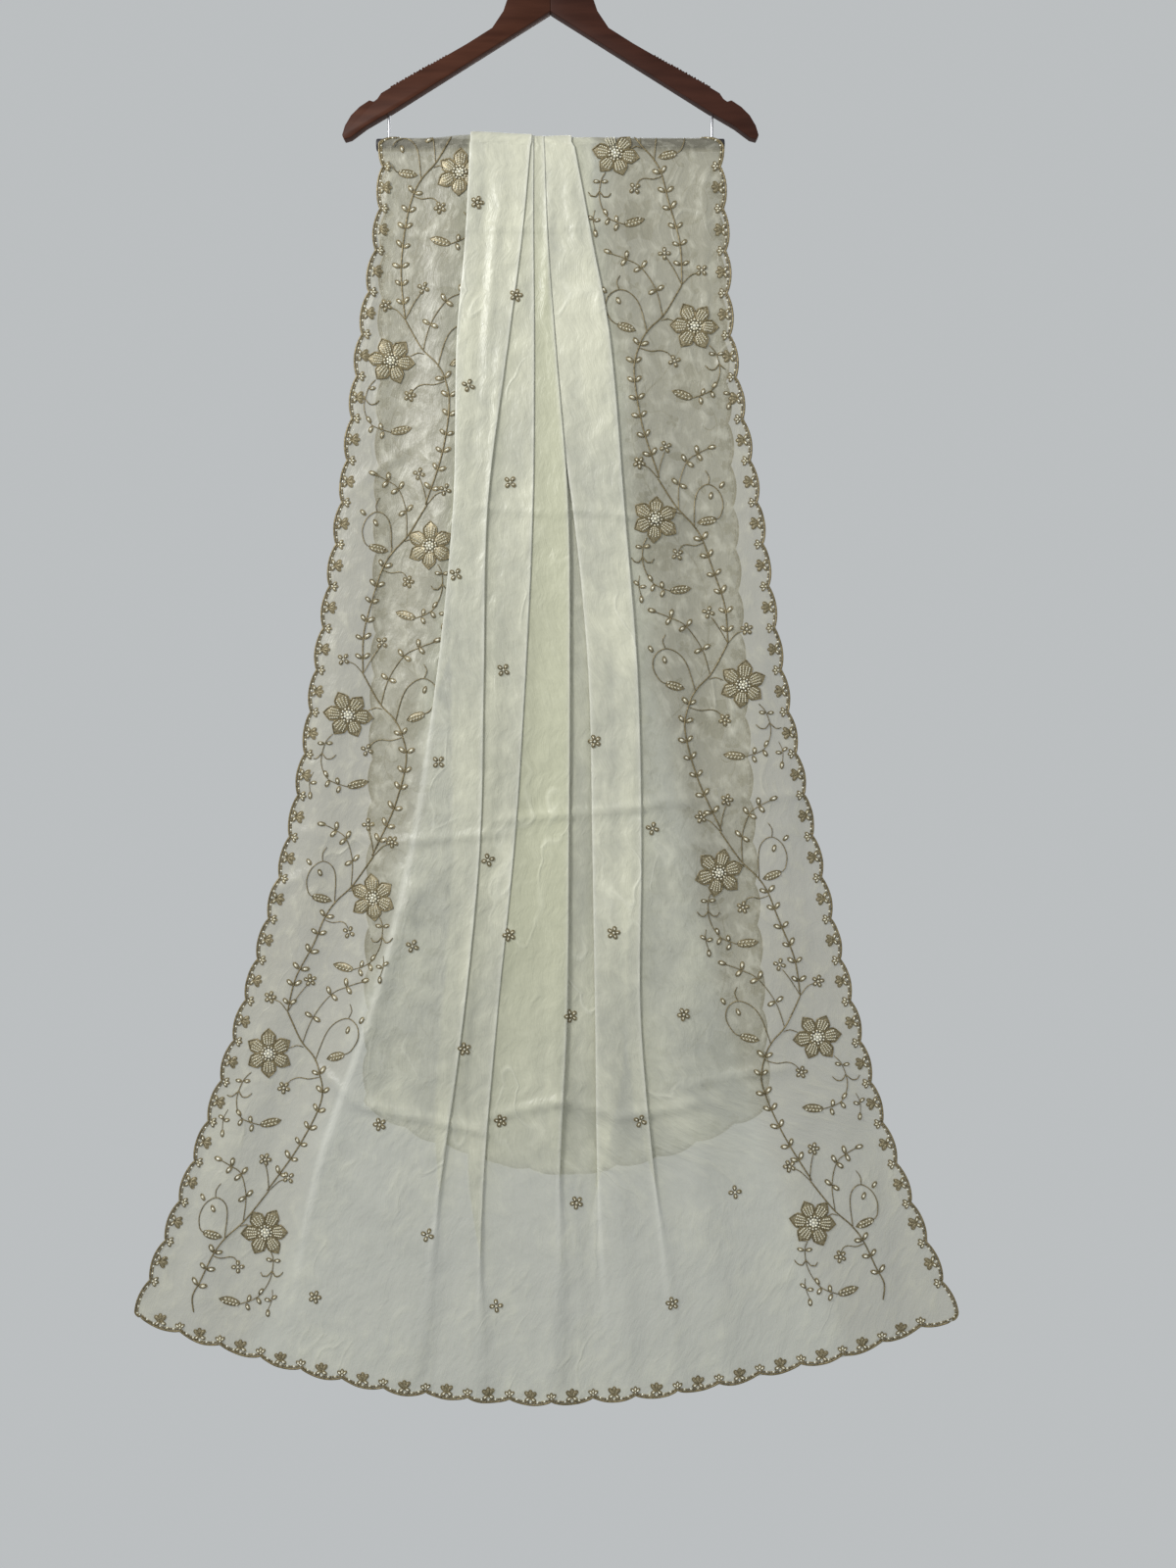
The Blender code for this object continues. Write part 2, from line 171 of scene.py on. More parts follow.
columns = ("drop", "left", "A", "C", "D", "E1", "E2", "F", "right")
front = {
    "name": "front", "facing": -1.0, "length": 1.341, "lift": 0.089, "opens": True,
    "bandShare": 1.0,
    "table": (
        (0.000, -0.182, -0.085, -0.019, -0.017, -0.006, -0.023, 0.023, 0.184),
        (0.110, -0.189, -0.090, -0.029, -0.017, -0.002, -0.017, 0.044, 0.191),
        (0.220, -0.206, -0.099, -0.043, -0.016, 0.006, -0.006, 0.064, 0.197),
        (0.400, -0.227, -0.102, -0.065, -0.017, 0.020, 0.023, 0.079, 0.225),
        (0.580, -0.253, -0.119, -0.069, -0.025, 0.022, 0.040, 0.093, 0.250),
        (0.760, -0.280, -0.143, -0.073, -0.037, 0.021, 0.044, 0.097, 0.282),
        (0.940, -0.323, -0.185, -0.090, -0.055, 0.019, 0.047, 0.096, 0.319),
        (1.120, -0.373, -0.242, -0.115, -0.070, 0.010, 0.050, 0.111, 0.362),
        (1.341, -0.444, -0.284, -0.148, -0.078, 0.005, 0.065, 0.133, 0.435),
    ),
}
back = {
    "name": "back", "facing": 1.0, "length": 1.105, "lift": 0.075, "opens": False,
    "bandShare": 0.35,
    "table": (
        (0.000, -0.182, -0.085, -0.019, -0.017, -0.006, -0.023, 0.023, 0.184),
        (0.200, -0.186, -0.088, -0.024, -0.012, 0.002, -0.014, 0.036, 0.190),
        (0.500, -0.192, -0.092, -0.030, -0.006, 0.012, -0.004, 0.048, 0.206),
        (0.800, -0.198, -0.096, -0.034, -0.002, 0.020, 0.004, 0.056, 0.222),
        (1.105, -0.203, -0.098, -0.036, 0.000, 0.026, 0.008, 0.062, 0.238),
    ),
}


def namedRows(names, rows):  # a table whose values go by their columns' names
    return [dict(zip(names, row)) for row in rows]


pleats = namedRows(("name", "faces", "share", "opens", "leaf"), (
    ("A", "left", 0.09, 0.62, 1),
    ("C", "right", 0.17, 1.15, 3),
    ("D", "right", 0.19, 1.22, 5),
    ("E1", "right", 0.18, 1.12, 7),
    ("E2", "left", 0.24, 1.12, 11),
    ("F", "right", 0.13, 1.15, 9),
))
panels = namedRows(("name", "level", "hemLeft", "hemRight", "points"), (
    ("leftBorder", 2, 0.014, 0.013, 36),
    ("box", 0, 0.018, 0.021, 24),
    ("knife1", 4, 0.016, 0.020, 18),
    ("knife2", 6, 0.015, 0.018, 18),
    ("recess", 12, 0.013, 0.013, 18),
    ("rightPanel", 8, 0.017, 0.018, 18),
    ("rightBorder", 10, 0.013, 0.014, 40),
))
barTurn = namedRows(("angle", "half"), (
    (0.0, 0.1693), (22.5, 0.1693), (45.0, 0.1750), (67.5, 0.1795), (90.0, 0.1830)))


def smoothstep(low, high, value):
    t = min(1.0, max(0.0, (value - low) / (high - low)))
    return t * t * (3.0 - 2.0 * t)


def mix(a, b, t):
    return a + (b - a) * t


def tableRow(table, drop):
    drops = [row[0] for row in table]
    i = min(max(bisect.bisect_right(drops, drop) - 1, 0), len(table) - 2)
    t = min(1.0, max(0.0, (drop - drops[i]) / (drops[i + 1] - drops[i])))
    before = table[max(i - 1, 0)]
    after = table[min(i + 2, len(table) - 1)]
    span = drops[i + 1] - drops[i]
    t2, t3 = t * t, t * t * t
    row = {}
    for column, name in enumerate(columns):
        a, b = table[i][column], table[i + 1][column]
        slopeA = (b - before[column]) / (drops[i + 1] - before[0]) * span
        slopeB = (after[column] - a) / (after[0] - drops[i]) * span
        row[name] = ((2 * t3 - 3 * t2 + 1) * a + (t3 - 2 * t2 + t) * slopeA
                     + (3 * t2 - 2 * t3) * b + (t3 - t2) * slopeB)
    return row


def levelDepth(level, drop):  # the pressed leaves lie closer together than the solid's do
    c = clothSizes
    settled = smoothstep(0.0, c["pitchSettles"], drop)
    pitch = mix(c["pitchTop"], c["pitchLow"], settled)
    inset = 0.5 * (1.0 - c["pressed"]) * settled * c["innermostLevel"] * pitch
    return innerRadius + inset + (c["innermostLevel"] - level) * pitch * c["pressed"]


def pleatUnderlap(pleat, hidden, drop, opens):
    underlap = pleat["share"] * hidden
    if not opens:
        return underlap
    spread = clothSizes["openingSpread"]
    opened = smoothstep(pleat["opens"] - spread, pleat["opens"] + spread, drop)
    return mix(underlap, -clothSizes["openSlope"], opened)


foldRoom = {"box": (0.0026, 0.0), "rightPanel": (0.0, 0.0014)}  # over the sewn work behind


def panelDepths(panel, drop, opens):
    depth = levelDepth(panel["level"], drop)
    left, right = foldRoom.get(panel["name"], (0.0, 0.0))
    relax = smoothstep(clothSizes["relaxFrom"], clothSizes["relaxTo"], drop) if opens else 0.0
    return (mix(depth + left, panel["hemLeft"], relax),
            mix(depth + right, panel["hemRight"], relax))


def borderDepth(depth, edgeX, freeX, x, drop):
    c = clothSizes
    t = min(1.0, max(0.0, (x - freeX) / (edgeX - freeX)))
    wave = c["borderWave"] * smoothstep(c["waveFrom"], c["waveTo"], drop) * (
        0.5 - 0.5 * math.cos(2.0 * math.pi * c["borderWaves"] * t + c["waveDrift"] * drop))
    return mix(depth, innerRadius + wave, smoothstep(0.0, c["borderFree"], t))


def pleatTurns(i, rightX, leftX, underlap, depthA, depthB):
    shift = max(0.0, -underlap) / 3.0
    before, after = panels[i]["level"], panels[i + 1]["level"]
    leaf = mix(depthA, depthB, (pleats[i]["leaf"] - before) / (after - before))
    slant = 1.0 - smoothstep(clothSizes["slantFrom"], clothSizes["slantTo"], underlap)
    share = clothSizes["turnShare"]
    first = mix(leaf, mix(depthA, depthB, share), slant)
    second = mix(leaf, mix(depthA, depthB, 1.0 - share), slant)
    return (rightX + shift, first), (leftX - shift, second)


def clothPath(side, row, drop):  # one section: x, depth and panel of each point
    c = clothSizes
    left = row["left"] + c["edging"]
    right = row["right"] - c["edging"]
    hidden = (c["width"] - (row["right"] - row["left"])) / 2.0
    underlaps = [pleatUnderlap(p, hidden, drop, side["opens"]) for p in pleats]
    starts = [left]
    ends = []
    for pleat, underlap in zip(pleats, underlaps):
        fold = row[pleat["name"]]
        if pleat["faces"] == "right":
            ends.append(fold)
            starts.append(fold - underlap)
        else:
            ends.append(fold + underlap)
            starts.append(fold)
    ends.append(right)
    freeLeft = min([row["A"]] + starts[1:5]) - c["freeMargin"]
    freeRight = max(row["F"], ends[4], starts[6]) + c["freeMargin"]
    path = []
    for i, panel in enumerate(panels):
        a, b = panelDepths(panel, drop, side["opens"])
        count = panel["points"] + 2
        for k in range(count):
            t = k / (count - 1)
            t -= c["crowding"] * math.sin(2.0 * math.pi * t)
            x = mix(starts[i], ends[i], t)
            depth = mix(a, b, smoothstep(0.0, 1.0, t))
            if i == 0:
                depth = borderDepth(depth, left, freeLeft, x, drop)
            if i == len(panels) - 1:
                depth = borderDepth(depth, right, freeRight, x, drop)
            path.append((x, depth, i))
        if i < len(pleats):
            nextA = panelDepths(panels[i + 1], drop, side["opens"])[0]
            turnA, turnB = pleatTurns(i, ends[i], starts[i + 1], underlaps[i], b, nextA)
            for k in range(c["leafPoints"]):
                t = k / (c["leafPoints"] - 1)
                path.append((mix(turnA[0], turnB[0], t), mix(turnA[1], turnB[1], t), i + 0.5))
    return path


def hangingHeight(side, row, drop, x):
    centre = (row["left"] + row["right"]) / 2.0
    half = (row["right"] - row["left"]) / 2.0
    lift = side["lift"] * (drop / side["length"]) ** clothSizes["liftGrowth"]
    aside = min(1.0, abs(x - centre) / half)
    return clothSizes["top"] - drop + lift * aside ** clothSizes["liftPower"]


# storage creases and soft folds, one row each: x and height of the line's two ends, its half
# width, and how far it stands out (a ridge) or in (a trough)

frontCreases = (
    (-0.100, -0.338, 0.070, -0.332, 0.0040, 0.0022),
    (-0.210, -0.345, -0.110, -0.338, 0.0050, 0.0014),
    (-0.080, -0.632, 0.010, -0.640, 0.0042, 0.0020),
    (0.020, -0.634, 0.090, -0.642, 0.0038, 0.0030),
    (0.100, -0.640, 0.230, -0.632, 0.0060, 0.0020),
    (-0.270, -0.975, -0.160, -0.985, 0.0060, 0.0018),
    (-0.160, -0.985, -0.050, -0.975, 0.0042, 0.0030),
    (-0.050, -0.962, 0.100, -0.948, 0.0042, 0.0030),
    (0.100, -0.945, 0.270, -0.935, 0.0055, 0.0026),
    (-0.245, -1.225, -0.190, -1.265, 0.0050, 0.0042),
    (-0.195, -1.263, -0.070, -1.290, 0.0050, 0.0044),
    (-0.060, -1.274, 0.012, -1.257, 0.0050, 0.0040),
    (0.012, -1.257, 0.060, -1.270, 0.0048, 0.0038),
    (0.070, -1.275, 0.150, -1.262, 0.0052, 0.0036),
    (0.150, -1.240, 0.260, -1.222, 0.0055, 0.0032),
    (-0.260, -1.300, -0.120, -1.420, 0.016, 0.0030),
    (-0.210, -1.330, -0.160, -1.480, 0.013, -0.0025),
    (0.020, -1.320, 0.035, -1.500, 0.010, 0.0025),
    (-0.052, -0.460, -0.072, -0.720, 0.0045, 0.0016),
    (0.075, -0.330, 0.098, -0.640, 0.0045, 0.0014),
    (-0.047, -0.245, -0.066, -0.440, 0.0045, 0.0022),
    (0.002, -0.245, -0.006, -0.420, 0.0045, 0.0018),
    (-0.064, -0.250, -0.080, -0.560, 0.0055, -0.0018),
    (0.014, -0.245, 0.030, -0.360, 0.0040, 0.0018),
    (-0.140, -0.560, -0.210, -0.610, 0.0060, 0.0022),
    (0.130, -0.760, 0.200, -0.740, 0.0060, 0.0020),
    (-0.240, -1.010, -0.300, -1.040, 0.0080, 0.0026),
    (0.220, -1.060, 0.300, -1.090, 0.0080, 0.0024),
    (-0.140, -0.800, -0.075, -0.900, 0.007, 0.0030),
    (-0.055, -0.735, -0.060, -0.905, 0.005, 0.0022),
    (-0.060, -0.905, -0.092, -1.230, 0.006, 0.0024),
    (-0.140, -1.030, -0.152, -1.060, 0.012, 0.0040),
    (-0.152, -1.060, -0.202, -1.195, 0.014, 0.0050),
    (-0.202, -1.195, -0.262, -1.400, 0.018, 0.0040),
    (0.006, -1.210, 0.002, -1.560, 0.011, 0.0030),
    (0.066, -1.230, 0.082, -1.550, 0.013, 0.0035),
    (-0.166, -0.245, -0.190, -0.420, 0.004, 0.0018),
    (0.163, -0.245, 0.166, -0.520, 0.004, 0.0016),
    (0.150, -0.250, 0.176, -0.300, 0.005, 0.0022),
    (0.215, -1.140, 0.300, -1.520, 0.022, 0.0050),
    (0.140, -1.180, 0.185, -1.560, 0.020, 0.0045),
    (-0.330, -1.270, -0.380, -1.480, 0.020, 0.0045),
    (0.330, -1.240, 0.385, -1.480, 0.018, -0.0030),
    (0.250, -0.760, 0.275, -0.980, 0.012, -0.0025),
    (-0.215, -0.860, -0.240, -1.060, 0.012, -0.0025),
)
backCreases = (
    (-0.200, -0.420, 0.210, -0.432, 0.010, 0.0018),
    (-0.200, -0.735, 0.000, -0.720, 0.010, 0.0018),
    (0.000, -0.722, 0.220, -0.745, 0.009, 0.0014),
    (-0.210, -1.050, 0.230, -1.066, 0.011, 0.0018),
    (-0.150, -0.820, -0.165, -1.200, 0.012, 0.0035),
    (0.110, -0.700, 0.135, -1.050, 0.012, 0.0035),
    (0.180, -0.900, 0.200, -1.220, 0.010, -0.0025),
    (-0.060, -0.560, -0.090, -0.690, 0.007, 0.0025),
)


def softRise(low, high, values):
    t = numpy.clip((values - low) / (high - low), 0.0, 1.0)
    return t * t * (3.0 - 2.0 * t)


# uneven waves of the cloth: waves to the metre across and down, how far they stand out, and
# the height under which they have come in fully
crinkles = namedRows(("across", "down", "out", "fullAt"), (
    (9.0, 2.6, 0.0044, -1.00),
    (17.0, 10.0, 0.0024, -0.70),
    (44.0, 32.0, 0.0013, -0.35),
    (84.0, 58.0, 0.0006, -0.30),
))


def creaseField(side):
    x, z = numpy.meshgrid(side["xs"], side["zs"])
    total = numpy.zeros_like(x)
    for x0, z0, x1, z1, half, out in side["creases"]:
        dx, dz = x1 - x0, z1 - z0
        t = ((x - x0) * dx + (z - z0) * dz) / (dx * dx + dz * dz)
        away = ((x - x0 - dx * t) ** 2 + (z - z0 - dz * t) ** 2) / half ** 2
        fade = softRise(-0.2, 0.1, t) * (1.0 - softRise(0.9, 1.2, t))
        total += out * fade * numpy.exp(-away)
    for row, wave in enumerate(crinkles):
        field = numpy.array([[noise.noise((px * wave["across"], pz * wave["down"],
                                           3.1 * row + side["facing"]))
                              for px in side["xs"]] for pz in side["zs"]])
        total += wave["out"] * field * (1.0 - softRise(wave["fullAt"], clothSizes["top"], z))
    return total


# the cloth as a sheet, and the outermost surface that everything sewn on it lies on

gridStep = {"drop": 0.0042, "x": 0.0020, "z": 0.0025, "past": 0.03}


def turnRow(side, angle):
    angles = [turn["angle"] for turn in barTurn]
    i = min(max(bisect.bisect_right(angles, angle) - 1, 0), len(angles) - 2)
    t = (angle - angles[i]) / (angles[i + 1] - angles[i])
    half = mix(barTurn[i]["half"], barTurn[i + 1]["half"], t)
    return dict(tableRow(side["table"], 0.0), left=-half, right=half)


def smoothPath(path):
    inner = [((a[0] + 2 * b[0] + c[0]) / 4, (a[1] + 2 * b[1] + c[1]) / 4, b[2])
             for a, b, c in zip(path, path[1:], path[2:])]
    return [path[0]] + inner + [path[-1]]


def surveySide(side):  # the outermost depth and the number of leaves, over drop and x
    steps = int(side["length"] / gridStep["drop"])
    drops = [i * gridStep["drop"] for i in range(4, steps + 1)] + [side["length"]]
    rows = [tableRow(side["table"], drop) for drop in drops]
    paths = [smoothPath(clothPath(side, row, drop)) for row, drop in zip(rows, drops)]
    x0 = min(row["left"] for row in rows) - gridStep["past"]
    x1 = max(row["right"] for row in rows) + gridStep["past"]
    xs = numpy.arange(x0, x1, gridStep["x"])
    outer = numpy.full((len(drops), len(xs)), -1.0)
    layers = numpy.zeros((len(drops), len(xs)))
    heights = numpy.zeros((len(drops), len(xs)))
    for i, path in enumerate(paths):
        for (xa, da, pa), (xb, db, pb) in zip(path, path[1:]):
            inside = numpy.nonzero((xs - xa) * (xs - xb) <= 0.0)[0]
            if xa == xb or not len(inside):
                continue
            depth = da + (db - da) * (xs[inside] - xa) / (xb - xa)
            outer[i, inside] = numpy.maximum(outer[i, inside], depth)
            layers[i, inside] += 1
        known = numpy.nonzero(outer[i] >= 0.0)[0]
        outer[i, :known[0]] = outer[i, known[0]]
        outer[i, known[-1] + 1:] = outer[i, known[-1]]
        heights[i] = [hangingHeight(side, rows[i], drops[i], x) for x in xs]
    zs = numpy.arange(clothSizes["top"] - side["length"] - gridStep["past"], clothSizes["top"],
                      gridStep["z"])
    side.update(drops=drops, rows=rows, paths=paths, xs=xs, zs=zs)
    creased = side["creased"] = creaseField(side)
    side["leaves"] = overHeight(side, heights, layers)
    side["depths"] = overHeight(side, heights, outer) + creased
    for name, panel, pleat in (("left", 0, pleats[0]), ("right", 6, pleats[5])):
        own = numpy.zeros_like(outer)
        for i, path in enumerate(paths):
            line = sorted((x, depth) for x, depth, owner in path if owner == panel)
            opened = smoothstep(pleat["opens"] - 0.1, pleat["opens"] + 0.1, drops[i])
            own[i] = numpy.interp(xs, [x for x, depth in line], [depth for x, depth in line])
            own[i] = mix(own[i], outer[i], opened if side["opens"] else 0.0)
        side[name] = {"facing": side["facing"], "xs": xs, "zs": zs,
                      "depths": overHeight(side, heights, own) + creased}


def overHeight(side, heights, values):  # from rows of equal drop to rows of equal height
    grid = numpy.zeros((len(side["zs"]), len(side["xs"])))
    for k in range(len(side["xs"])):
        grid[:, k] = numpy.interp(side["zs"], heights[::-1, k], values[::-1, k])
    return grid


def readGrid(side, grid, x, z):
    column = min(max((x - side["xs"][0]) / gridStep["x"], 0.0), grid.shape[1] - 1.001)
    line = min(max((z - side["zs"][0]) / gridStep["z"], 0.0), grid.shape[0] - 1.001)
    k, j = int(column), int(line)
    s, t = column - k, line - j
    lower = grid[j, k] * (1 - s) + grid[j, k + 1] * s
    upper = grid[j + 1, k] * (1 - s) + grid[j + 1, k + 1] * s
    return lower * (1 - t) + upper * t


def onCloth(side, x, z, out=0.0):
    depth = readGrid(side, side["depths"], x, z)
    above = z - barHeight
    if above > 0.0:  # round the bar's top
        depth = math.sqrt(max(0.0, depth * depth - above * above))
    return (x, side["facing"] * (depth + out + clothSizes["seamGap"] / 2), z)


# how dense the leaves look together: those of the back drop count for less through the front

toneSettings = {"gain": 0.30, "behindShare": 0.5, "behindMost": 3.0, "hemUnder": 0.004,
                "hemOver": 0.008}


def leafTone(side, x, z):
    s = toneSettings
    own = readGrid(side, side["leaves"], x, z)
    behind = 0.0
    if side is front:
        hem = numpy.interp(x, *zip(*back["field"]["limits"]["hem"]))
        behind = s["behindShare"] * min(s["behindMost"], readGrid(back, back["leaves"], x, z))
        behind *= smoothstep(hem - s["hemUnder"], hem + s["hemOver"], z)
    return 1.0 - math.exp(-s["gain"] * max(0.0, own + behind - 1.0))


def meshPiece(name, vertices, faces, materials, slots=None):
    data = bpy.data.meshes.new(name)
    data.from_pydata(vertices, [], faces)
    for material in materials:
        data.materials.append(material)
    data.polygons.foreach_set("use_smooth", [True] * len(data.polygons))
    if slots:
        data.polygons.foreach_set("material_index", slots)
    piece = bpy.data.objects.new(name, data)
    sceneObjects.link(piece)
    return piece


def addAttribute(piece, name, values):
    layer = piece.data.attributes.new(name, "FLOAT", "POINT")
    layer.data.foreach_set("value", values)


foldsOf = {1: ("A", "C"), 2: ("D",), 3: ("E1",), 5: ("E2", "F")}  # the folds a panel ends in
shadesOf = {0: ("A",), 2: ("C",), 3: ("D",), 4: ("E1", "E2"), 6: ("F",)}  # and lies behind
sheetLook = {  # reaches and drops in metres
    "foldGlow": 0.0030,  # how far the brighter line along a fold reaches: the doubled cloth there, with a painted highlight
    "shadeReach": 0.0110,  # how far the softer shade behind a fold reaches
    "foldsFade": (1.05, 1.34),
    "warmPanel": 3,  # the recessed strip, coloured warmer and darker: the leaves behind showing through, and painted shade of the recess
    "warmStarts": (0.02, 0.20),
    "warmFades": (0.8, 1.15),
    "bandWidth": (0.116, 0.150),  # the sheer border ends between these, from the side edge
    "bandUneven": 0.022,
    "bandFades": (0.90, 1.15),
    "bandFadesBy": 0.45,
    "barDarkens": 3.4,  # the steel shows through the border's top
    "barEnds": (0.0165, 0.0215),
    "toneTop": 0.04,
}
turnSteps = 8
scallops = {"pitch": 0.045, "low": 0.0035, "high": 0.009}


def scallopReach(length):  # how far the edge stands out past the straight edge
    phase = (length / scallops["pitch"]) % 1.0
    return mix(scallops["low"], scallops["high"], math.sin(math.pi * phase) ** 0.7)


def rowLengths(line):  # how far each point lies from the line's first, along it
    lengths = [0.0]
    for a, b in zip(line, line[1:]):
        lengths.append(lengths[-1] + (b - a).length)
    return lengths


def makeEdge(places, outs):
    return {"places": places, "outs": outs, "lengths": rowLengths(places)}


def edgeAt(edge, length):
    lengths, places, outs = edge["lengths"], edge["places"], edge["outs"]
    i = min(max(bisect.bisect_right(lengths, length) - 1, 0), len(lengths) - 2)
    t = (length - lengths[i]) / (lengths[i + 1] - lengths[i])
    place = places[i] + (places[i + 1] - places[i]) * t
    return place, (outs[i] + (outs[i + 1] - outs[i]) * t).normalized()


def buildSections(side):  # every section of the drop, placed, and its three edges
    facing, gap = side["facing"], clothSizes["seamGap"] / 2
    sections, ends = [], {"left": [], "right": []}
    for step in range(turnSteps + 1):
        angle = 90.0 * step / turnSteps
        path = smoothPath(clothPath(side, turnRow(side, angle), 0.0))
        sine, cosine = math.sin(math.radians(angle)), math.cos(math.radians(angle))
        points = [Vector((x, facing * (d * sine + gap), barHeight + d * cosine))
                  for x, d, panel in path]
        sections.append({"points": points, "path": path, "drop": -0.004 * (turnSteps - step)})
    for row, drop, path in zip(side["rows"], side["drops"], side["paths"]):
        points = []
        for x, depth, panel in path:
            z = hangingHeight(side, row, drop, x)
            depth += readGrid(side, side["creased"], x, z) * smoothstep(0.02, 0.08, drop)
            points.append(Vector((x, facing * (depth + gap), z)))
        sections.append({"points": points, "path": path, "drop": drop})
    for section in sections:
        points = section["points"]
        ends["left"].append((points[0], (points[0] - points[2]).normalized()))
        ends["right"].append((points[-1], (points[-1] - points[-3]).normalized()))
    hem = sections[-1]["points"]
    side["sections"] = sections
    side["edges"] = {name: makeEdge(*map(list, zip(*rows))) for name, rows in ends.items()}
    side["edges"]["hem"] = makeEdge(hem, [Vector((0.0, 0.0, -1.0))] * len(hem))
    limits = {name: sorted((place.z, place.x) for place, out in rows)
              for name, rows in ends.items()}
    limits["hem"] = sorted((place.x, place.z) for place in hem)
    for name in ("left", "right"):
        side["vine" + name.title()] = dict(side[name], limits=limits)
    side["field"] = {key: side[key] for key in ("facing", "xs", "zs", "depths")}
    side["field"]["limits"] = limits


def insideWork(side, x, z, margin=0.006):  # sewn work stops short of the edges and the bar
    if "limits" not in side:
        return True
    limits = side["limits"]
    left, right = (numpy.interp(z, *zip(*limits[name])) for name in ("left", "right"))
    hem = numpy.interp(x, *zip(*limits["hem"]))
    return left + margin < x < right - margin and hem + margin < z < clothSizes["top"] - 0.004


def sheetLines(side):  # the sections out to the side edges, then the rows of the scalloped hem
    edges = side["edges"]
    lines = []
    for i, section in enumerate(side["sections"]):
        line = [edges[name]["places"][i] + edges[name]["outs"][i]
                * scallopReach(edges[name]["lengths"][i]) for name in ("left", "right")]
        lines.append(([line[0]] + section["points"] + [line[1]], section["drop"]))
    last, hemLengths = lines[-1][0], edges["hem"]["lengths"]
    reach = [scallopReach(length) for length in hemLengths]
    reach = [reach[0]] + reach + [reach[-1]]
    for part in (0.35, 0.7, 1.0):
        line = [point - Vector((0.0, 0.0, part * r)) for point, r in zip(last, reach)]
        for end, inner in ((0, 1), (-1, -2)):  # the corners are round
            line[end] = line[inner] + (line[end] - line[inner]) * math.sqrt(1.01 - part * part)
        lines.append((line, side["length"] + part * scallops["high"]))
    return lines


def buildSheet(side, material):
    s = sheetLook
    vertices, flat = [], []
    looksOf = {"leafTone": [], "recessShadeTint": [], "borderBand": [], "foldHighlight": [], "foldShade": []}
    lines = sheetLines(side)
    panelOf = [0] + [panel for x, depth, panel in side["paths"][0]] + [6]
    for line, drop in lines:
        row = tableRow(side["table"], drop)
        across = rowLengths(line)
        creased = 1.0 - smoothstep(*s["foldsFade"], drop)
        onBar = mix(s["barDarkens"], 1.0, smoothstep(*s["barEnds"], drop))
        for k, point in enumerate(line):
            vertices.append(point)
            looksOf["leafTone"].append(
                leafTone(side, point.x, min(point.z, clothSizes["top"] - s["toneTop"])))
            uneven = s["bandUneven"] * noise.noise((point.x * 7.0, point.z * 9.0, 7.0))
            inside = min(across[k], across[-1] - across[k]) + uneven
            # the border band: more see-through, and coloured with painted shade that fades lower
            # down and counts for less on the back drop
            looksOf["borderBand"].append(
                side["bandShare"] * (1.0 - smoothstep(*s["bandWidth"], inside))
                * (1.0 - s["bandFadesBy"] * smoothstep(*s["bandFades"], drop)) * onBar)
            shown = 1.0 if panelOf[k] == s["warmPanel"] else 0.0
            looksOf["recessShadeTint"].append(shown * smoothstep(*s["warmStarts"], drop)
                                     * (1 - smoothstep(*s["warmFades"], drop)))
            lit, shaded = (min([abs(point.x - row[name]) for name in folds.get(panelOf[k], ())]
                               + [1.0]) for folds in (foldsOf, shadesOf))
            # a painted highlight along each fold that the panel ends in, over the doubled cloth
            # there
            looksOf["foldHighlight"].append(creased * math.exp(-(lit / s["foldGlow"]) ** 2))
            looksOf["foldShade"].append(creased * math.exp(-shaded / s["shadeReach"]))
            flat.append((across[k], drop))
    width = len(lines[0][0])
    faces = []
    for i in range(len(lines) - 1):
        for k in range(width - 1):
            a = i * width + k
            quad = (a, a + 1, a + width + 1, a + width)
            faces.append(quad[::-1] if side["facing"] < 0 else quad)
    sheet = meshPiece("organza" + side["name"].title() + "Drop", vertices, faces, [material])
    for name, values in looksOf.items():
        addAttribute(sheet, name, values)
    weave = sheet.data.uv_layers.new(name="weave")
    for loop in sheet.data.loops:
        weave.data[loop.index].uv = flat[loop.vertex_index]
    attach(sheet, "root")
    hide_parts("cloth_" + side["name"])
    print("cloth", side["name"], len(faces), "quads")


# thread, beads and sequins

threadKinds = ("cord", "bead", "cream", "zari")


def newWorks():
    return {kind: {"vertices": [], "faces": []} for kind in threadKinds}


def outwards(side):
    return Vector((0.0, side["facing"], 0.0))


def shifted(x, z, angle, along, aside=0.0):  # a place further on at this angle, and to its left
    return (x + along * math.cos(angle) - aside * math.sin(angle),
            z + along * math.sin(angle) + aside * math.cos(angle))


def addFace(work, face, turned):  # turned the other way round where it would point inwards
    work["faces"].append(face[::-1] if turned else face)


def addRings(work, rings, turned):
    base = len(work["vertices"])
    size = len(rings[0])
    for ring in rings:
        work["vertices"].extend(ring)
    for i in range(len(rings) - 1):
        for k in range(size):
            n = (k + 1) % size
            addFace(work, (base + i * size + k, base + i * size + n,
                           base + (i + 1) * size + n, base + (i + 1) * size + k), turned)
    return base, size


def addTube(work, places, radius, upward, sides=5):
    rings = []
    for i, place in enumerate(places):
        along = places[min(i + 1, len(places) - 1)] - places[max(i - 1, 0)]
        sideways = along.cross(upward).normalized()
        up = sideways.cross(along).normalized()
        width = radius * (0.6 if i in (0, len(places) - 1) else 1.0)
        rings.append([place + sideways * (width * math.cos(2.0 * math.pi * (k + 0.5) / sides))
                      + up * (width * math.sin(2.0 * math.pi * (k + 0.5) / sides))
                      for k in range(sides)])
    base, size = addRings(work, rings, True)
    last = base + (len(rings) - 1) * size
    addFace(work, tuple(base + k for k in range(size)), False)
    addFace(work, tuple(last + k for k in range(size)), True)


def addBall(work, place, radius):
    base = len(work["vertices"])
    for tip in beadTips:
        work["vertices"].append(place + tip * radius)
    for face in beadFaces:
        work["faces"].append(tuple(base + k for k in face))


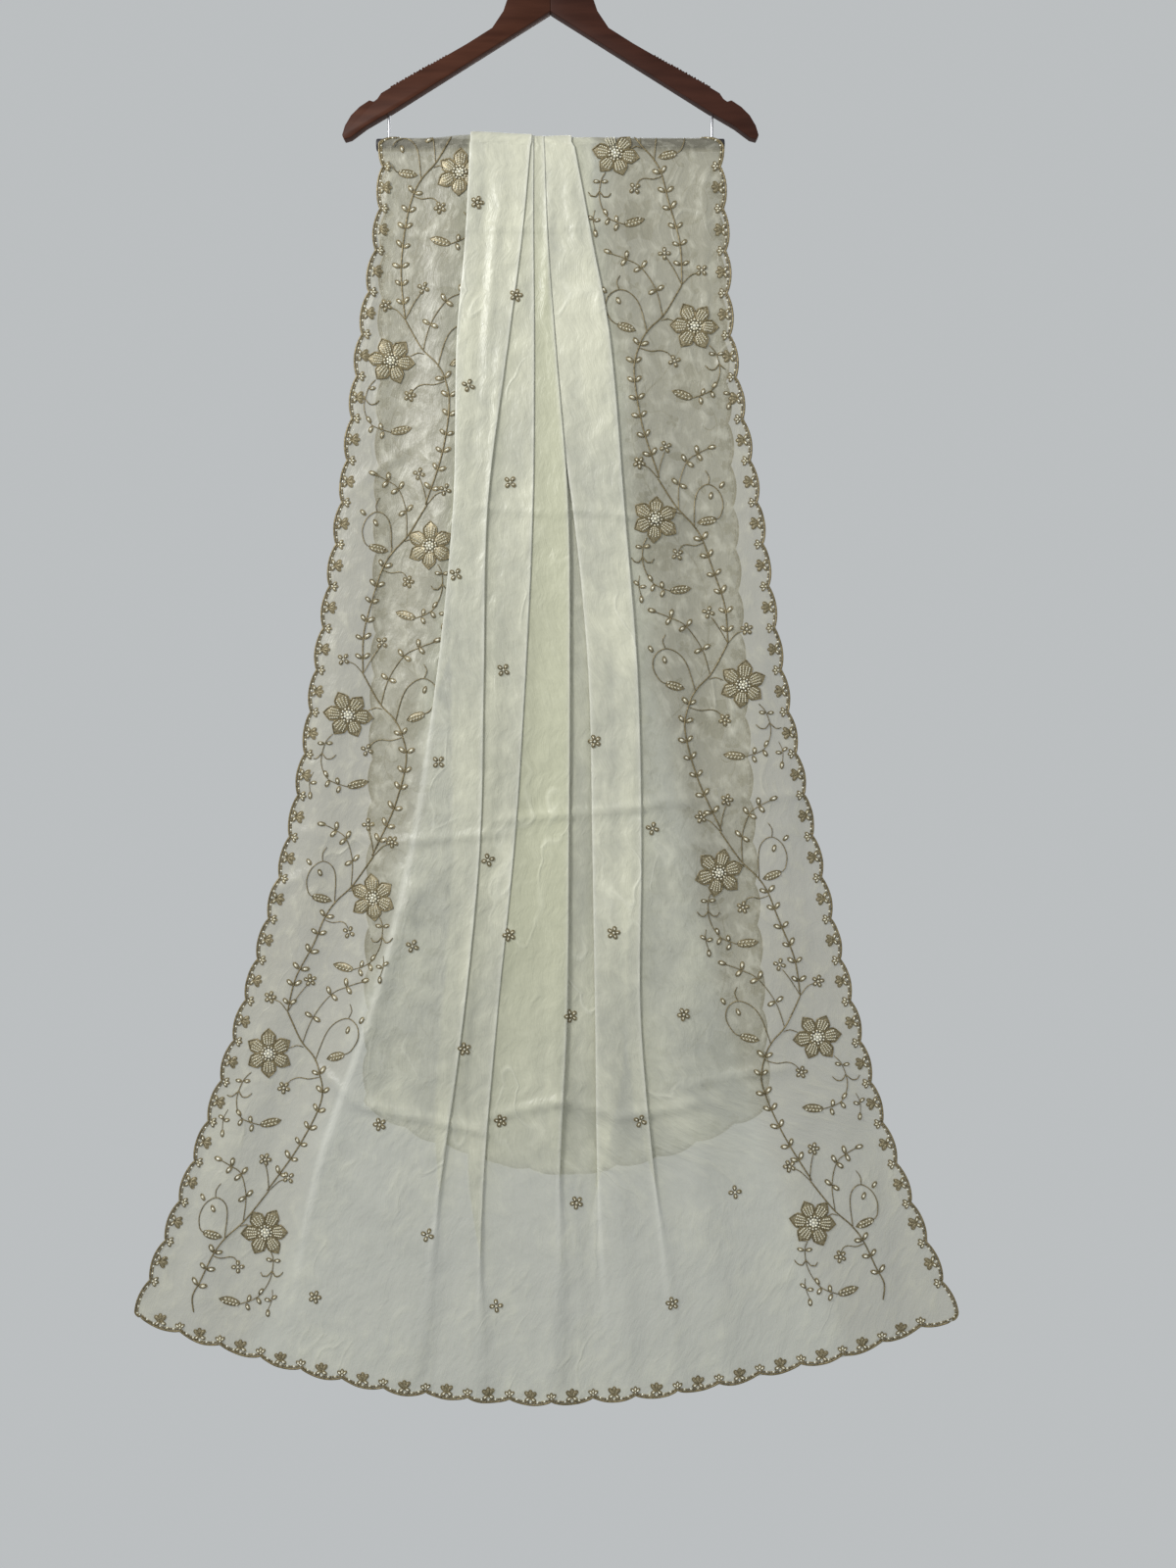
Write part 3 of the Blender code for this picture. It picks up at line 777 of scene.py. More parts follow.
def makeBeadShape():
    ball = bmesh.new()
    bmesh.ops.create_icosphere(ball, subdivisions=1, radius=1.0)
    tips = [vert.co.copy() for vert in ball.verts]
    faces = [tuple(vert.index for vert in face.verts) for face in ball.faces]
    ball.free()
    return tips, faces


beadTips, beadFaces = makeBeadShape()


def addCord(work, side, points, radius, sides=4):  # each stretch that lies on the cloth
    for inside, stretch in itertools.groupby(points, lambda point: insideWork(side, *point)):
        places = [Vector(onCloth(side, x, z, radius * 0.7)) for x, z in stretch]
        if inside and len(places) > 1:
            addTube(work, places, radius, outwards(side), sides)


def addBead(work, side, x, z, radius, out):
    if insideWork(side, x, z):
        addBall(work, Vector(onCloth(side, x, z, radius * 0.7 + out)), radius)


def petalOutline(x, z, angle, length, width, waist, points):
    outline = []
    for k in range(points):
        turn = 2.0 * math.pi * k / points
        along = length * (0.5 - 0.5 * math.cos(turn))
        aside = width / 2.0 * math.sin(turn) * (waist + (1.0 - waist) * along / length)
        outline.append(shifted(x, z, angle, along, aside))
    return outline


def addDome(fill, side, outline, height):
    cx = sum(x for x, z in outline) / len(outline)
    cz = sum(z for x, z in outline) / len(outline)
    outer = [Vector(onCloth(side, x, z, 0.0001)) for x, z in outline]
    inner = [Vector(onCloth(side, mix(x, cx, 0.45), mix(z, cz, 0.45), height))
             for x, z in outline]
    turned = side["facing"] < 0.0
    base, size = addRings(fill, [outer, inner], turned)
    fill["vertices"].append(Vector(onCloth(side, cx, cz, height * 1.15)))
    top = len(fill["vertices"]) - 1
    for k in range(size):
        addFace(fill, (base + size + k, base + size + (k + 1) % size, top), turned)


def addPetal(works, side, x, z, angle, length, width, waist=0.55, cord=0.00055,
             height=0.0013, points=12, tip=0.0):  # filled with zari thread, edged with cord
    end = shifted(x, z, angle, length)
    if not (insideWork(side, x, z) and insideWork(side, *end, 0.003)):
        return
    outline = petalOutline(x, z, angle, length, width, waist, points)
    if tip:
        outline[points // 2] = shifted(*end, angle, tip)
    addDome(works["zari"], side, outline, height)
    addTube(works["cord"], [Vector(onCloth(side, px, pz, cord * 0.7))
                            for px, pz in outline + [outline[0]]], cord, outwards(side), 4)


cordStep = 0.0025


def smoothLine(points):  # a curve through the points, in short steps
    line = []
    ends = [points[0]] + list(points) + [points[-1]]
    for a, b, c, d in zip(ends, ends[1:], ends[2:], ends[3:]):
        count = max(1, int(math.hypot(c[0] - b[0], c[1] - b[1]) / cordStep))
        for k in range(count):
            t = k / count
            line.append(tuple(
                0.5 * (2 * b[n] + (c[n] - a[n]) * t
                       + (2 * a[n] - 5 * b[n] + 4 * c[n] - d[n]) * t ** 2
                       + (3 * b[n] - a[n] - 3 * c[n] + d[n]) * t ** 3) for n in (0, 1)))
    line.append(points[-1])
    return line


# one repeat of the border's vine, drawn about its large flower in millimetres: across towards
# the flower's own side, then down. The next repeat is its mirror image

vine = {
    "stem": ((-10, -44), (-31, -13), (-49, 4), (-60, 21), (-68, 50)),
    "stemRadius": 0.00085,
    "strokes": (
        {"line": ((-35, -6), (-28, -8), (-20, -5)), "radius": 0.00065},
        {"line": ((-10, -44), (-17, -60), (-24, -72)), "radius": 0.00065},
        {"line": ((-10, -44), (0, -54), (9, -57)), "radius": 0.00065},
        {"line": ((-33, -10), (-38, -38), (-52, -62), (-68, -71), (-84, -77)), "radius": 0.00065},
        {"line": ((-51, 8), (-56, -20), (-64, -33), (-77, -38), (-89, -31), (-93, -18), (-88, -5),
                  (-82, -1)), "radius": 0.0007},
        {"line": ((-77, -38), (-79, -46), (-75, -53)), "radius": 0.00065},
        {"line": ((14, 20), (21, 30), (23, 50), (13, 68), (-8, 76)), "radius": 0.00065},
        {"line": ((23, 40), (18, 46), (12, 46), (8, 42)), "radius": 0.0008},
        {"line": ((23, 40), (29, 46), (35, 45), (38, 41)), "radius": 0.0008},
        {"line": ((-60, 24), (-49, 27), (-38, 26), (-31, 28), (-26, 33)), "radius": 0.00065},
        {"line": ((30, 60), (33, 70), (31, 82)), "radius": 0.0005},
    ),
    "smallFlowers": ((-26, -77), (12, -59), (-24, 37)),
    "leaves": (  # across, down, the way it points in degrees from the flower's side, length
        (-38, -38, 205, 9), (-37, -38, 40, 9), (-52, -62, 215, 9), (-51, -62, 60, 9),
        (-67, -71, 235, 9), (-67, -71, 80, 9), (-82, -77, 165, 9), (-91, -34, 130, 8),
        (-80, -30, 290, 8), (14, 66, 60, 8), (12, 69, 300, 8), (2, 74, 80, 8), (0, 75, 290, 8),
        (22, 30, 10, 7), (20, 30, 170, 7), (32, 70, 30, 7), (32, 72, 170, 7), (31, 81, 265, 8),
    ),
    "longLeaf": (-8, 76, 168, 21, 9),
    "bud": (-82, -1, -14, 19, 9),
    "pairGap": 20.0,
}
flowers = {  # the large flowers' middles, as they hang in the photo
    "left": ((-0.096, -0.276), (-0.169, -0.475), (-0.127, -0.673), (-0.214, -0.851),
             (-0.187, -1.044), (-0.298, -1.209), (-0.302, -1.399)),
    "right": ((0.069, -0.255), (0.153, -0.438), (0.111, -0.644), (0.204, -0.819),
              (0.179, -1.018), (0.283, -1.192), (0.278, -1.387)),
}
sprigs = (  # the small sprigs over the field
    (-0.077, -0.309), (-0.036, -0.407), (-0.086, -0.504), (-0.042, -0.606), (-0.099, -0.704),
    (-0.049, -0.804), (-0.117, -0.901), (0.047, -0.879), (-0.065, -1.004), (0.108, -0.971),
    (-0.043, -1.083), (0.067, -1.081), (-0.144, -1.094), (0.022, -1.169), (0.141, -1.167),
    (-0.090, -1.203), (-0.179, -1.282), (-0.052, -1.279), (0.095, -1.279), (0.028, -1.366),
    (0.196, -1.357), (-0.129, -1.399), (-0.248, -1.465), (-0.057, -1.476), (0.129, -1.472),
)


largeFlower = {
    "petals": 6,
    "petalFrom": 0.0045,
    "petalLong": (0.0165, 0.0190),
    "petalWide": (0.0180, 0.0205),
    "tip": 0.0032,
    "cord": 0.0008,
    "height": 0.0012,
    "beadRows": ((-0.27, 4), (-0.09, 5), (0.09, 5), (0.27, 4)),  # how far across, and how many
    "cutBead": 0.0028,
    "creamShare": 0.6,
    "rings": ((0.0, 1, 0.0020), (0.0036, 7, 0.0015), (0.0068, 12, 0.0011)),  # out, count, radius
    "ringsLift": 0.0014,
}
smallFlower = {"onVine": 0.0125, "onField": 0.0130, "middle": 0.0012, "petals": (4, 5)}


def addSmallFlower(works, side, x, z, size):
    petals = rng.choice(smallFlower["petals"])
    turn = rng.uniform(0.0, 1.5)
    for k in range(petals):
        angle = turn + 2.0 * math.pi * k / petals
        addPetal(works, side, *shifted(x, z, angle, 0.1 * size), angle, 0.44 * size,
                 0.38 * size, points=8)
        addGlint(works, side, *shifted(x, z, angle, 0.31 * size), angle, 0.26 * size)
    addBead(works["cream"], side, x, z, smallFlower["middle"], smallFlower["middle"])


def addLargeFlower(works, side, x, z, turn):
    f = largeFlower
    for k in range(f["petals"]):
        angle = turn + math.radians(60.0 * k)
        px, pz = shifted(x, z, angle, f["petalFrom"])
        length, width = rng.uniform(*f["petalLong"]), rng.uniform(*f["petalWide"])
        addPetal(works, side, px, pz, angle, length, width, waist=0.5, cord=f["cord"],
                 height=f["height"], tip=f["tip"])
        for across, beads in f["beadRows"]:
            for n in range(beads):
                along = length * (0.30 + 0.56 * (n + 0.5 * (beads == 4)) / 4.6)
                aside = across * width * (0.55 + 0.5 * along / length)
                addGlint(works, side, *shifted(px, pz, angle, along, aside),
                         angle + rng.uniform(-0.6, 0.6) + across, f["cutBead"],
                         "cream" if rng.random() < f["creamShare"] else "bead")
    # the middle's beads take the bright bead finish, a painted glint
    for ring, count, radius in f["rings"]:
        for k in range(count):
            angle = turn + 2.0 * math.pi * (k + rng.uniform(-0.1, 0.1)) / count
            addBead(works["bead"], side, *shifted(x, z, angle, ring), radius, f["ringsLift"])


def addGlint(works, side, x, z, angle, length, key="bead"):  # a raised cut bead, coloured bright as a painted glint
    if insideWork(side, x, z):
        outline = petalOutline(*shifted(x, z, angle, -0.5 * length), angle, length,
                               length * 0.60, 0.9, 6)
        addDome(works[key], side, outline, 0.0024)


def addLeaf(works, side, x, z, angle, length):
    addPetal(works, side, x, z, angle, length, length * 0.54, points=8, height=0.0009, waist=0.8)
    addGlint(works, side, *shifted(x, z, angle, 0.54 * length), angle, 0.58 * length)


def addLeafPairs(works, side, line, gap, size):  # pairs along a line that grows upwards
    carried = gap * 0.5
    for (xa, za), (xb, zb) in zip(line, line[1:]):
        length = math.hypot(xb - xa, zb - za)
        if carried < length:
            heading = math.atan2(za - zb, xa - xb)
            for way in (1.0, -1.0):
                angle = heading + way * math.radians(rng.uniform(42.0, 68.0))
                addLeaf(works, side, *shifted(xa, za, angle, 0.0008), angle,
                        size * rng.uniform(0.9, 1.1))
            carried += gap
        carried -= length


def addVine(works, side, places, firstWay, slopeAt):
    millimetre = 0.001
    for i, (x, z) in enumerate(places):
        way = firstWay * (-1.0 if i % 2 else 1.0)
        slope = slopeAt(z)
        narrow = 0.80 if way == firstWay else 1.0  # the inner flowers' repeats are narrower

        def spot(point):
            return (x + (way * narrow * point[0] + slope * point[1]) * millimetre,
                    z - point[1] * millimetre)

        def heading(degrees):
            turn = math.radians(degrees + rng.uniform(-8.0, 8.0))
            return math.atan2(math.sin(turn), way * math.cos(turn))

        if i + 1 < len(places):
            nx, nz = places[i + 1]
            fork = (nx + way * 0.010 - slopeAt(nz) * 0.044, nz + 0.044)
        else:
            fork = spot((-66, 84))
        stem = [spot(point) for point in vine["stem"]]
        middle = ((stem[-1][0] + fork[0]) / 2 - way * 0.005, (stem[-1][1] + fork[1]) / 2)
        if fork[1] < stem[-1][1] - 0.02:
            stem.append(middle)
        stem.append(fork)
        line = smoothLine(stem)
        addCord(works["cord"], side, line, vine["stemRadius"], 5)
        turnAt = next(k for k, point in enumerate(line) if point[1] < z - 0.012)
        addLeafPairs(works, side, line[turnAt:-3], vine["pairGap"] * millimetre, 0.0088)
        if i == 0:
            top = [(stem[0][0] + way * 0.004, stem[0][1] + 0.022), stem[0]]
            addCord(works["cord"], side, smoothLine(top), vine["stemRadius"], 5)
        for stroke in vine["strokes"]:
            addCord(works["cord"], side, smoothLine([spot(p) for p in stroke["line"]]),
                    stroke["radius"])
        for place in vine["smallFlowers"]:
            addSmallFlower(works, side, *spot(place), smallFlower["onVine"])
        for across, down, degrees, length in vine["leaves"]:
            addLeaf(works, side, *spot((across, down)), heading(degrees), length * millimetre)
        for across, down, degrees, length, width in (vine["longLeaf"], vine["bud"]):
            sx, sz = spot((across, down))
            angle = heading(degrees)
            addPetal(works, side, sx, sz, angle, length * millimetre, width * millimetre,
                     waist=0.9, tip=0.0018, height=0.0009)
            for k in range(9):  # two slanting rows of cut beads
                along = length * millimetre * (0.14 + 0.09 * k)
                aside = (-1.0) ** k * 0.19 * width * millimetre
                addGlint(works, side, *shifted(sx, sz, angle, along, aside),
                         angle + (-1.0) ** k * 0.6, 0.0030, "bead" if k % 3 else "cream")
        addLargeFlower(works, side, x, z, rng.uniform(0.0, 1.0))


def stitchPiece(name, works, looks):
    vertices, faces, slots = [], [], []
    for slot, kind in enumerate(threadKinds):
        base = len(vertices)
        vertices.extend(works[kind]["vertices"])
        faces.extend(tuple(base + k for k in face) for face in works[kind]["faces"])
        slots.extend([slot] * len(works[kind]["faces"]))
    piece = meshPiece(name, vertices, faces, [looks[kind] for kind in threadKinds], slots)
    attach(piece, "root")
    print(name, sum(len(face) - 2 for face in faces), "triangles")
    return piece


def edgeSlope(side, name, z):  # how far the edge goes across for each metre down
    drop = clothSizes["top"] - z
    above, below = (tableRow(side["table"], d)[name] for d in (drop - 0.06, drop + 0.06))
    return 0.85 * (below - above) / 0.12


def buildEmbroidery(side, looks):
    works = newWorks()
    for name, edge in (("left", -1.0), ("right", 1.0)):
        if side is front:
            places = flowers[name]
        else:
            places = []
            for k in range(6):
                z = -0.320 - 0.178 * k
                edgeX = tableRow(side["table"], clothSizes["top"] - z)[name]
                places.append((edgeX - edge * (0.040 if k % 2 else 0.092), z))
        addVine(works, side["vine" + name.title()], places, -edge,
                lambda z, name=name: edgeSlope(side, name, z))
    backSprigs = [(-0.055 + 0.055 * (k % 3) + 0.02 * (k % 2), -0.36 - 0.085 * k)
                  for k in range(11)]
    for x, z in sprigs if side is front else backSprigs:
        addSmallFlower(works, side["field"], x, z, smallFlower["onField"])
    stitchPiece("embroidery" + side["name"].title(), works, looks)


# materials

def addNode(tree, kind, **values):
    node = tree.nodes.new("ShaderNode" + kind)
    for name, value in values.items():
        if name in node.inputs:
            node.inputs[name].default_value = value
        else:
            setattr(node, name, value)
    return node


def noiseOf(tree, source, stretch, scale, detail=3.0):
    mapping = addNode(tree, "Mapping", Scale=stretch)
    texture = addNode(tree, "TexNoise", Scale=scale, Detail=detail)
    tree.links.new(source, mapping.inputs["Vector"])
    tree.links.new(mapping.outputs["Vector"], texture.inputs["Vector"])
    return texture.outputs["Fac"]


def rampOf(tree, value, low, high, colourLow, colourHigh):
    spread = addNode(tree, "MapRange")
    spread.inputs["From Min"].default_value = low
    spread.inputs["From Max"].default_value = high
    tree.links.new(value, spread.inputs["Value"])
    blend = tree.nodes.new("ShaderNodeMix")
    blend.data_type = "RGBA"
    blend.inputs["A"].default_value = (*colourLow, 1.0)
    blend.inputs["B"].default_value = (*colourHigh, 1.0)
    tree.links.new(spread.outputs["Result"], blend.inputs["Factor"])
    return blend.outputs["Result"]


def addBump(tree, shader, value, strength, distance):
    bump = addNode(tree, "Bump", Strength=strength, Distance=distance)
    tree.links.new(value, bump.inputs["Height"])
    tree.links.new(bump.outputs["Normal"], shader.inputs["Normal"])


organzaLook = {
    # a single leaf's colour, darker than the dense cloth: partly the sheer cloth, partly painted
    # shade as if shadow lay behind it
    "sheer": (0.52, 0.52, 0.435),
    "dense": (0.72, 0.71, 0.555),
    # the recessed strip: warmer and darker, partly painted shade
    "recessShadeColour": (0.645, 0.645, 0.465),
    "shade": (0.45, 0.45, 0.325),
    # the sheer border's colour, darker than the cloth's own: painted shade, as if shadow lay
    # behind the sheer border
    "band": (0.405, 0.382, 0.285),
    # fold: the bright colour of the painted highlights along the folds and crinkles
    "fold": (0.83, 0.82, 0.71),
    "alphaSingle": 0.80,
    "alphaDense": 0.94,
    "alphaBand": 0.66,
    "roughness": 0.38,
    "sheen": 0.2,
    "threadScale": 900.0,
    "cloudScale": 14.0,
    "crushScale": 84.0,
    "creaseScale": 13.0,
    "creaseWidth": 0.016,
    # painted sheen: crushed and cloudy patches made lighter and darker in colour
    "crushSheen": (0.9, -0.45),  # gain and offset, as in the three pairs below
    "cloudSheen": (1.6, -0.78),
    "threadCover": (0.24, 0.88),
    "cloudCover": (0.16, -0.08),
    "bumpStrength": 0.55,
    "bumpDepth": 0.0040,
}


def blendColour(tree, factor, first, second):  # second is a plain colour
    blend = tree.nodes.new("ShaderNodeMix")
    blend.data_type = "RGBA"
    blend.inputs["B"].default_value = (*second, 1.0)
    tree.links.new(factor, blend.inputs["Factor"])
    tree.links.new(first, blend.inputs["A"])
    return blend.outputs["Result"]


def scaleAdd(tree, value, gain, offset, clamp=False):
    node = addNode(tree, "Math", operation="MULTIPLY_ADD")
    node.use_clamp = clamp
    node.inputs[1].default_value = gain
    node.inputs[2].default_value = offset
    tree.links.new(value, node.inputs[0])
    return node.outputs[0]


def combine(tree, operation, first, second, clamp=False):
    node = addNode(tree, "Math", operation=operation)
    node.use_clamp = clamp
    tree.links.new(first, node.inputs[0])
    tree.links.new(second, node.inputs[1])
    return node.outputs[0]


def creaseLines(tree, source, stretch, scale, width):  # fine wandering creases
    level = scaleAdd(tree, noiseOf(tree, source, stretch, scale, 2.0), 1.0, -0.5)
    away = addNode(tree, "Math", operation="ABSOLUTE")
    tree.links.new(level, away.inputs[0])
    return scaleAdd(tree, away.outputs[0], -1.0 / width, 1.0, True)


def organzaMaterial():
    look = organzaLook
    material, tree, shader = newMaterial("tissueOrganza")
    uv = addNode(tree, "UVMap", uv_map="weave").outputs["UV"]
    tone, recessShadeTint, band, fold, shade = (
        addNode(tree, "Attribute", attribute_name=name).outputs["Fac"]
        for name in ("leafTone", "recessShadeTint", "borderBand", "foldHighlight", "foldShade"))
    threads = noiseOf(tree, uv, (1.0, 0.06, 1.0), look["threadScale"], 1.0)
    clouds = noiseOf(tree, uv, (1.0, 0.5, 1.0), look["cloudScale"], 1.0)
    crush = noiseOf(tree, uv, (1.0, 0.6, 1.0), look["crushScale"])
    creased = creaseLines(tree, uv, (1.0, 0.45, 1.0), look["creaseScale"], look["creaseWidth"])
    creased = combine(tree, "MULTIPLY", creased, scaleAdd(tree, clouds, 5.0, -2.3, True))
    singleBand = combine(tree, "MULTIPLY", band, scaleAdd(tree, tone, -0.8, 1.0))
    inBand = scaleAdd(tree, singleBand, 1.0, 0.0, True)
    # painted highlight on the crinkles: crease lines and crushed patches are coloured towards the
    # bright fold colour, and they also thicken the cover
    crinkleHighlight = combine(tree, "ADD", scaleAdd(tree, creased, 0.16, 0.0),
                     combine(tree, "MULTIPLY", scaleAdd(tree, crush, 6.0, -3.0, True),
                             scaleAdd(tree, inBand, 0.20, 0.04)))
    # painted sheen from the crushed and cloudy patches
    lit = combine(tree, "ADD", tone, scaleAdd(tree, crush, *look["crushSheen"]))
    lit = combine(tree, "ADD", lit, scaleAdd(tree, clouds, *look["cloudSheen"]))
    # from the single leaf's darker colour, partly painted shade, to the dense cloth's own
    colour = rampOf(tree, lit, 0.0, 1.0, look["sheer"], look["dense"])
    # the recessed strip's warmer, darker colour: leaves behind showing through, with painted
    # shade
    colour = blendColour(tree, recessShadeTint, colour, look["recessShadeColour"])
    # the sheer border: painted shade
    colour = blendColour(tree, singleBand, colour, look["band"])
    colour = blendColour(tree, scaleAdd(tree, shade, 0.5, 0.0), colour, look["shade"])
    # painted highlight along the folds
    colour = blendColour(tree, scaleAdd(tree, fold, 0.7, 0.0), colour, look["fold"])
    colour = blendColour(tree, crinkleHighlight, colour, look["fold"])
    tree.links.new(colour, shader.inputs["Base Color"])
    cover = scaleAdd(tree, tone, look["alphaDense"] - look["alphaSingle"], look["alphaSingle"])
    cover = combine(tree, "ADD", cover,
                    scaleAdd(tree, singleBand, look["alphaBand"] - look["alphaSingle"], 0.0))
    cover = combine(tree, "MULTIPLY", cover, scaleAdd(tree, threads, *look["threadCover"]))
    cover = combine(tree, "ADD", cover, scaleAdd(tree, crinkleHighlight, 0.7, 0.0))
    cover = combine(tree, "ADD", cover, scaleAdd(tree, clouds, *look["cloudCover"]), clamp=True)
    tree.links.new(cover, shader.inputs["Alpha"])
    shader.inputs["Roughness"].default_value = look["roughness"]
    shader.inputs["Sheen Weight"].default_value = look["sheen"]
    relief = combine(tree, "ADD", scaleAdd(tree, threads, 0.12, 0.0), crush)
    relief = combine(tree, "ADD", relief, scaleAdd(tree, creased, 0.35, 0.0))
    addBump(tree, shader, relief, look["bumpStrength"], look["bumpDepth"])
    return material


def makeGrain():  # the grain of every plain finish: a colour between two, and a height
    group = bpy.data.node_groups.new("finishGrain", "ShaderNodeTree")
    for name, way, kind in (("Place", "INPUT", "Vector"), ("Stretch", "INPUT", "Vector"),
                            ("Scale", "INPUT", "Float"), ("Low", "INPUT", "Color"),
                            ("High", "INPUT", "Color"), ("Colour", "OUTPUT", "Color"),
                            ("Height", "OUTPUT", "Float")):
        group.interface.new_socket(name=name, in_out=way, socket_type="NodeSocket" + kind)
    given = group.nodes.new("NodeGroupInput").outputs
    result = group.nodes.new("NodeGroupOutput").inputs
    grain = noiseOf(group, given["Place"], (1.0, 1.0, 1.0), 1.0)
    texture = grain.node
    mapping = texture.inputs["Vector"].links[0].from_node
    group.links.new(given["Stretch"], mapping.inputs["Scale"])
    group.links.new(given["Scale"], texture.inputs["Scale"])
    colour = rampOf(group, grain, 0.30, 0.70, (0.0, 0.0, 0.0), (1.0, 1.0, 1.0))
    group.links.new(given["Low"], colour.node.inputs["A"])
    group.links.new(given["High"], colour.node.inputs["B"])
    group.links.new(colour, result["Colour"])
    group.links.new(grain, result["Height"])
    return group


finishGrain = makeGrain()


grainDepth = 0.0003


def plainLook(name, low, high, roughness, metallic, scale, stretch=(1.0, 1.0, 1.0), bump=0.15,
              specular=0.5):
    material, tree, shader = newMaterial(name)
    grain = tree.nodes.new("ShaderNodeGroup")
    grain.node_tree = finishGrain
    for socket, value in (("Stretch", stretch), ("Scale", scale), ("Low", (*low, 1.0)),
                          ("High", (*high, 1.0))):
        grain.inputs[socket].default_value = value
    tree.links.new(addNode(tree, "TexCoord").outputs["Object"], grain.inputs["Place"])
    tree.links.new(grain.outputs["Colour"], shader.inputs["Base Color"])
    shader.inputs["Roughness"].default_value = roughness
    shader.inputs["Metallic"].default_value = metallic
    shader.inputs["Specular IOR Level"].default_value = specular
    addBump(tree, shader, grain.outputs["Height"], bump, grainDepth)
    return material


def makeMaterials():
    return {
        "organza": organzaMaterial(),
        "cord": plainLook("antiqueGoldCord", (0.105, 0.082, 0.038), (0.34, 0.275, 0.145), 0.42,
                          0.35, 420.0, bump=0.4),
        # the bright beads: gold beads coloured near white, a painted glint
        "bead": plainLook("goldBeadsPaintedGlint", (0.86, 0.80, 0.58), (1.0, 0.99, 0.88), 0.27, 0.35, 300.0),
        "cream": plainLook("creamThread", (0.62, 0.57, 0.40), (0.95, 0.93, 0.80), 0.35, 0.1,
                           640.0, bump=0.6),
        # one varnished wood in two copies: the right arm's copy is darker, painted shade, with
        # the light falling from the left
        "woodLeftLit": plainLook("varnishedWoodLeftLit", (0.046, 0.0145, 0.0072),
                              (0.076, 0.026, 0.0135), 0.46, 0.0, 36.0,
                              stretch=(0.35, 3.0, 3.0), specular=0.12),
        "woodRightShaded": plainLook("varnishedWoodRightShaded", (0.036, 0.012, 0.0072),
                               (0.058, 0.020, 0.012), 0.46, 0.0, 36.0,
                               stretch=(0.35, 3.0, 3.0), specular=0.12),
        # the bar: grey steel darkened to near black as painted shade inside the cloth wrapped
        # over it
        "bar": plainLook("greySteelBarShaded", (0.020, 0.018, 0.022), (0.036, 0.032, 0.038), 0.55, 0.1,
                         90.0, stretch=(0.2, 1.0, 1.0), bump=0.03),
        "zari": plainLook("zariThread", (0.105, 0.083, 0.040), (0.44, 0.38, 0.235), 0.40, 0.3,
                          700.0, bump=0.8),
        "steel": plainLook("brightSteel", (0.42, 0.42, 0.44), (0.56, 0.56, 0.58), 0.28, 1.0, 90.0,
                           stretch=(0.2, 1.0, 1.0), bump=0.03),
    }


# the hanger

hanger = {
    "armBevel": 0.0009,
    "bevelSteps": 3,
    "crookRadius": 0.019,
    "wireRadius": 0.002,
    "hookFoot": -0.0617,
    "barHalf": 0.1855,
    "rodX": 0.172,
    "rodRadius": 0.0015,
    "rodFoot": -0.2360,
    "rodTop": -0.2116,
}


def deselectAll():
    if bpy.context.object and bpy.context.object.mode != "OBJECT":
        bpy.ops.object.mode_set(mode="OBJECT")
    bpy.ops.object.select_all(action="DESELECT")


def takeUp(piece):
    deselectAll()
    bpy.context.view_layer.objects.active = piece
    piece.select_set(True)


def finishHard(piece, node, material, bevel):
    takeUp(piece)
    bpy.ops.object.transform_apply(location=True, rotation=True, scale=True)
    rounding = piece.modifiers.new("rounding", "BEVEL")
    rounding.width = bevel
    rounding.segments = hanger["bevelSteps"]
    rounding.limit_method = "ANGLE"
    rounding.angle_limit = math.radians(35.0)
    bpy.ops.object.modifier_apply(modifier="rounding")
    bpy.ops.object.shade_smooth_by_angle(angle=math.radians(40.0))
    piece.data.materials.clear()
    piece.data.materials.append(material)
    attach(piece, "root")
    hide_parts(node)


def buildArm(name, material):
    source = bpy.data.objects["hanger_arm_" + name]
    arm = bpy.data.objects.new("woodenArm" + name.title(), source.data.copy())
    arm.matrix_world = source.matrix_world
    sceneObjects.link(arm)
    takeUp(arm)
    bpy.ops.object.mode_set(mode="EDIT")
    bpy.ops.mesh.select_all(action="SELECT")
    bpy.ops.mesh.remove_doubles(threshold=0.00002)
    bpy.ops.mesh.dissolve_limited(angle_limit=math.radians(1.0))
    bpy.ops.object.mode_set(mode="OBJECT")
    for vert in arm.data.vertices:  # the glued faces meet
        if abs(vert.co.x) < clothSizes["seamGap"]:
            vert.co.x = 0.0
    finishHard(arm, source.name, material, hanger["armBevel"])
    buildRibs(arm, name, material)


ribs = {"count": 20, "first": 0.111, "last": 0.169, "wide": 0.0012, "high": 0.0012,
        "sunk": 0.0006, "halfLong": 0.0046, "points": 7}


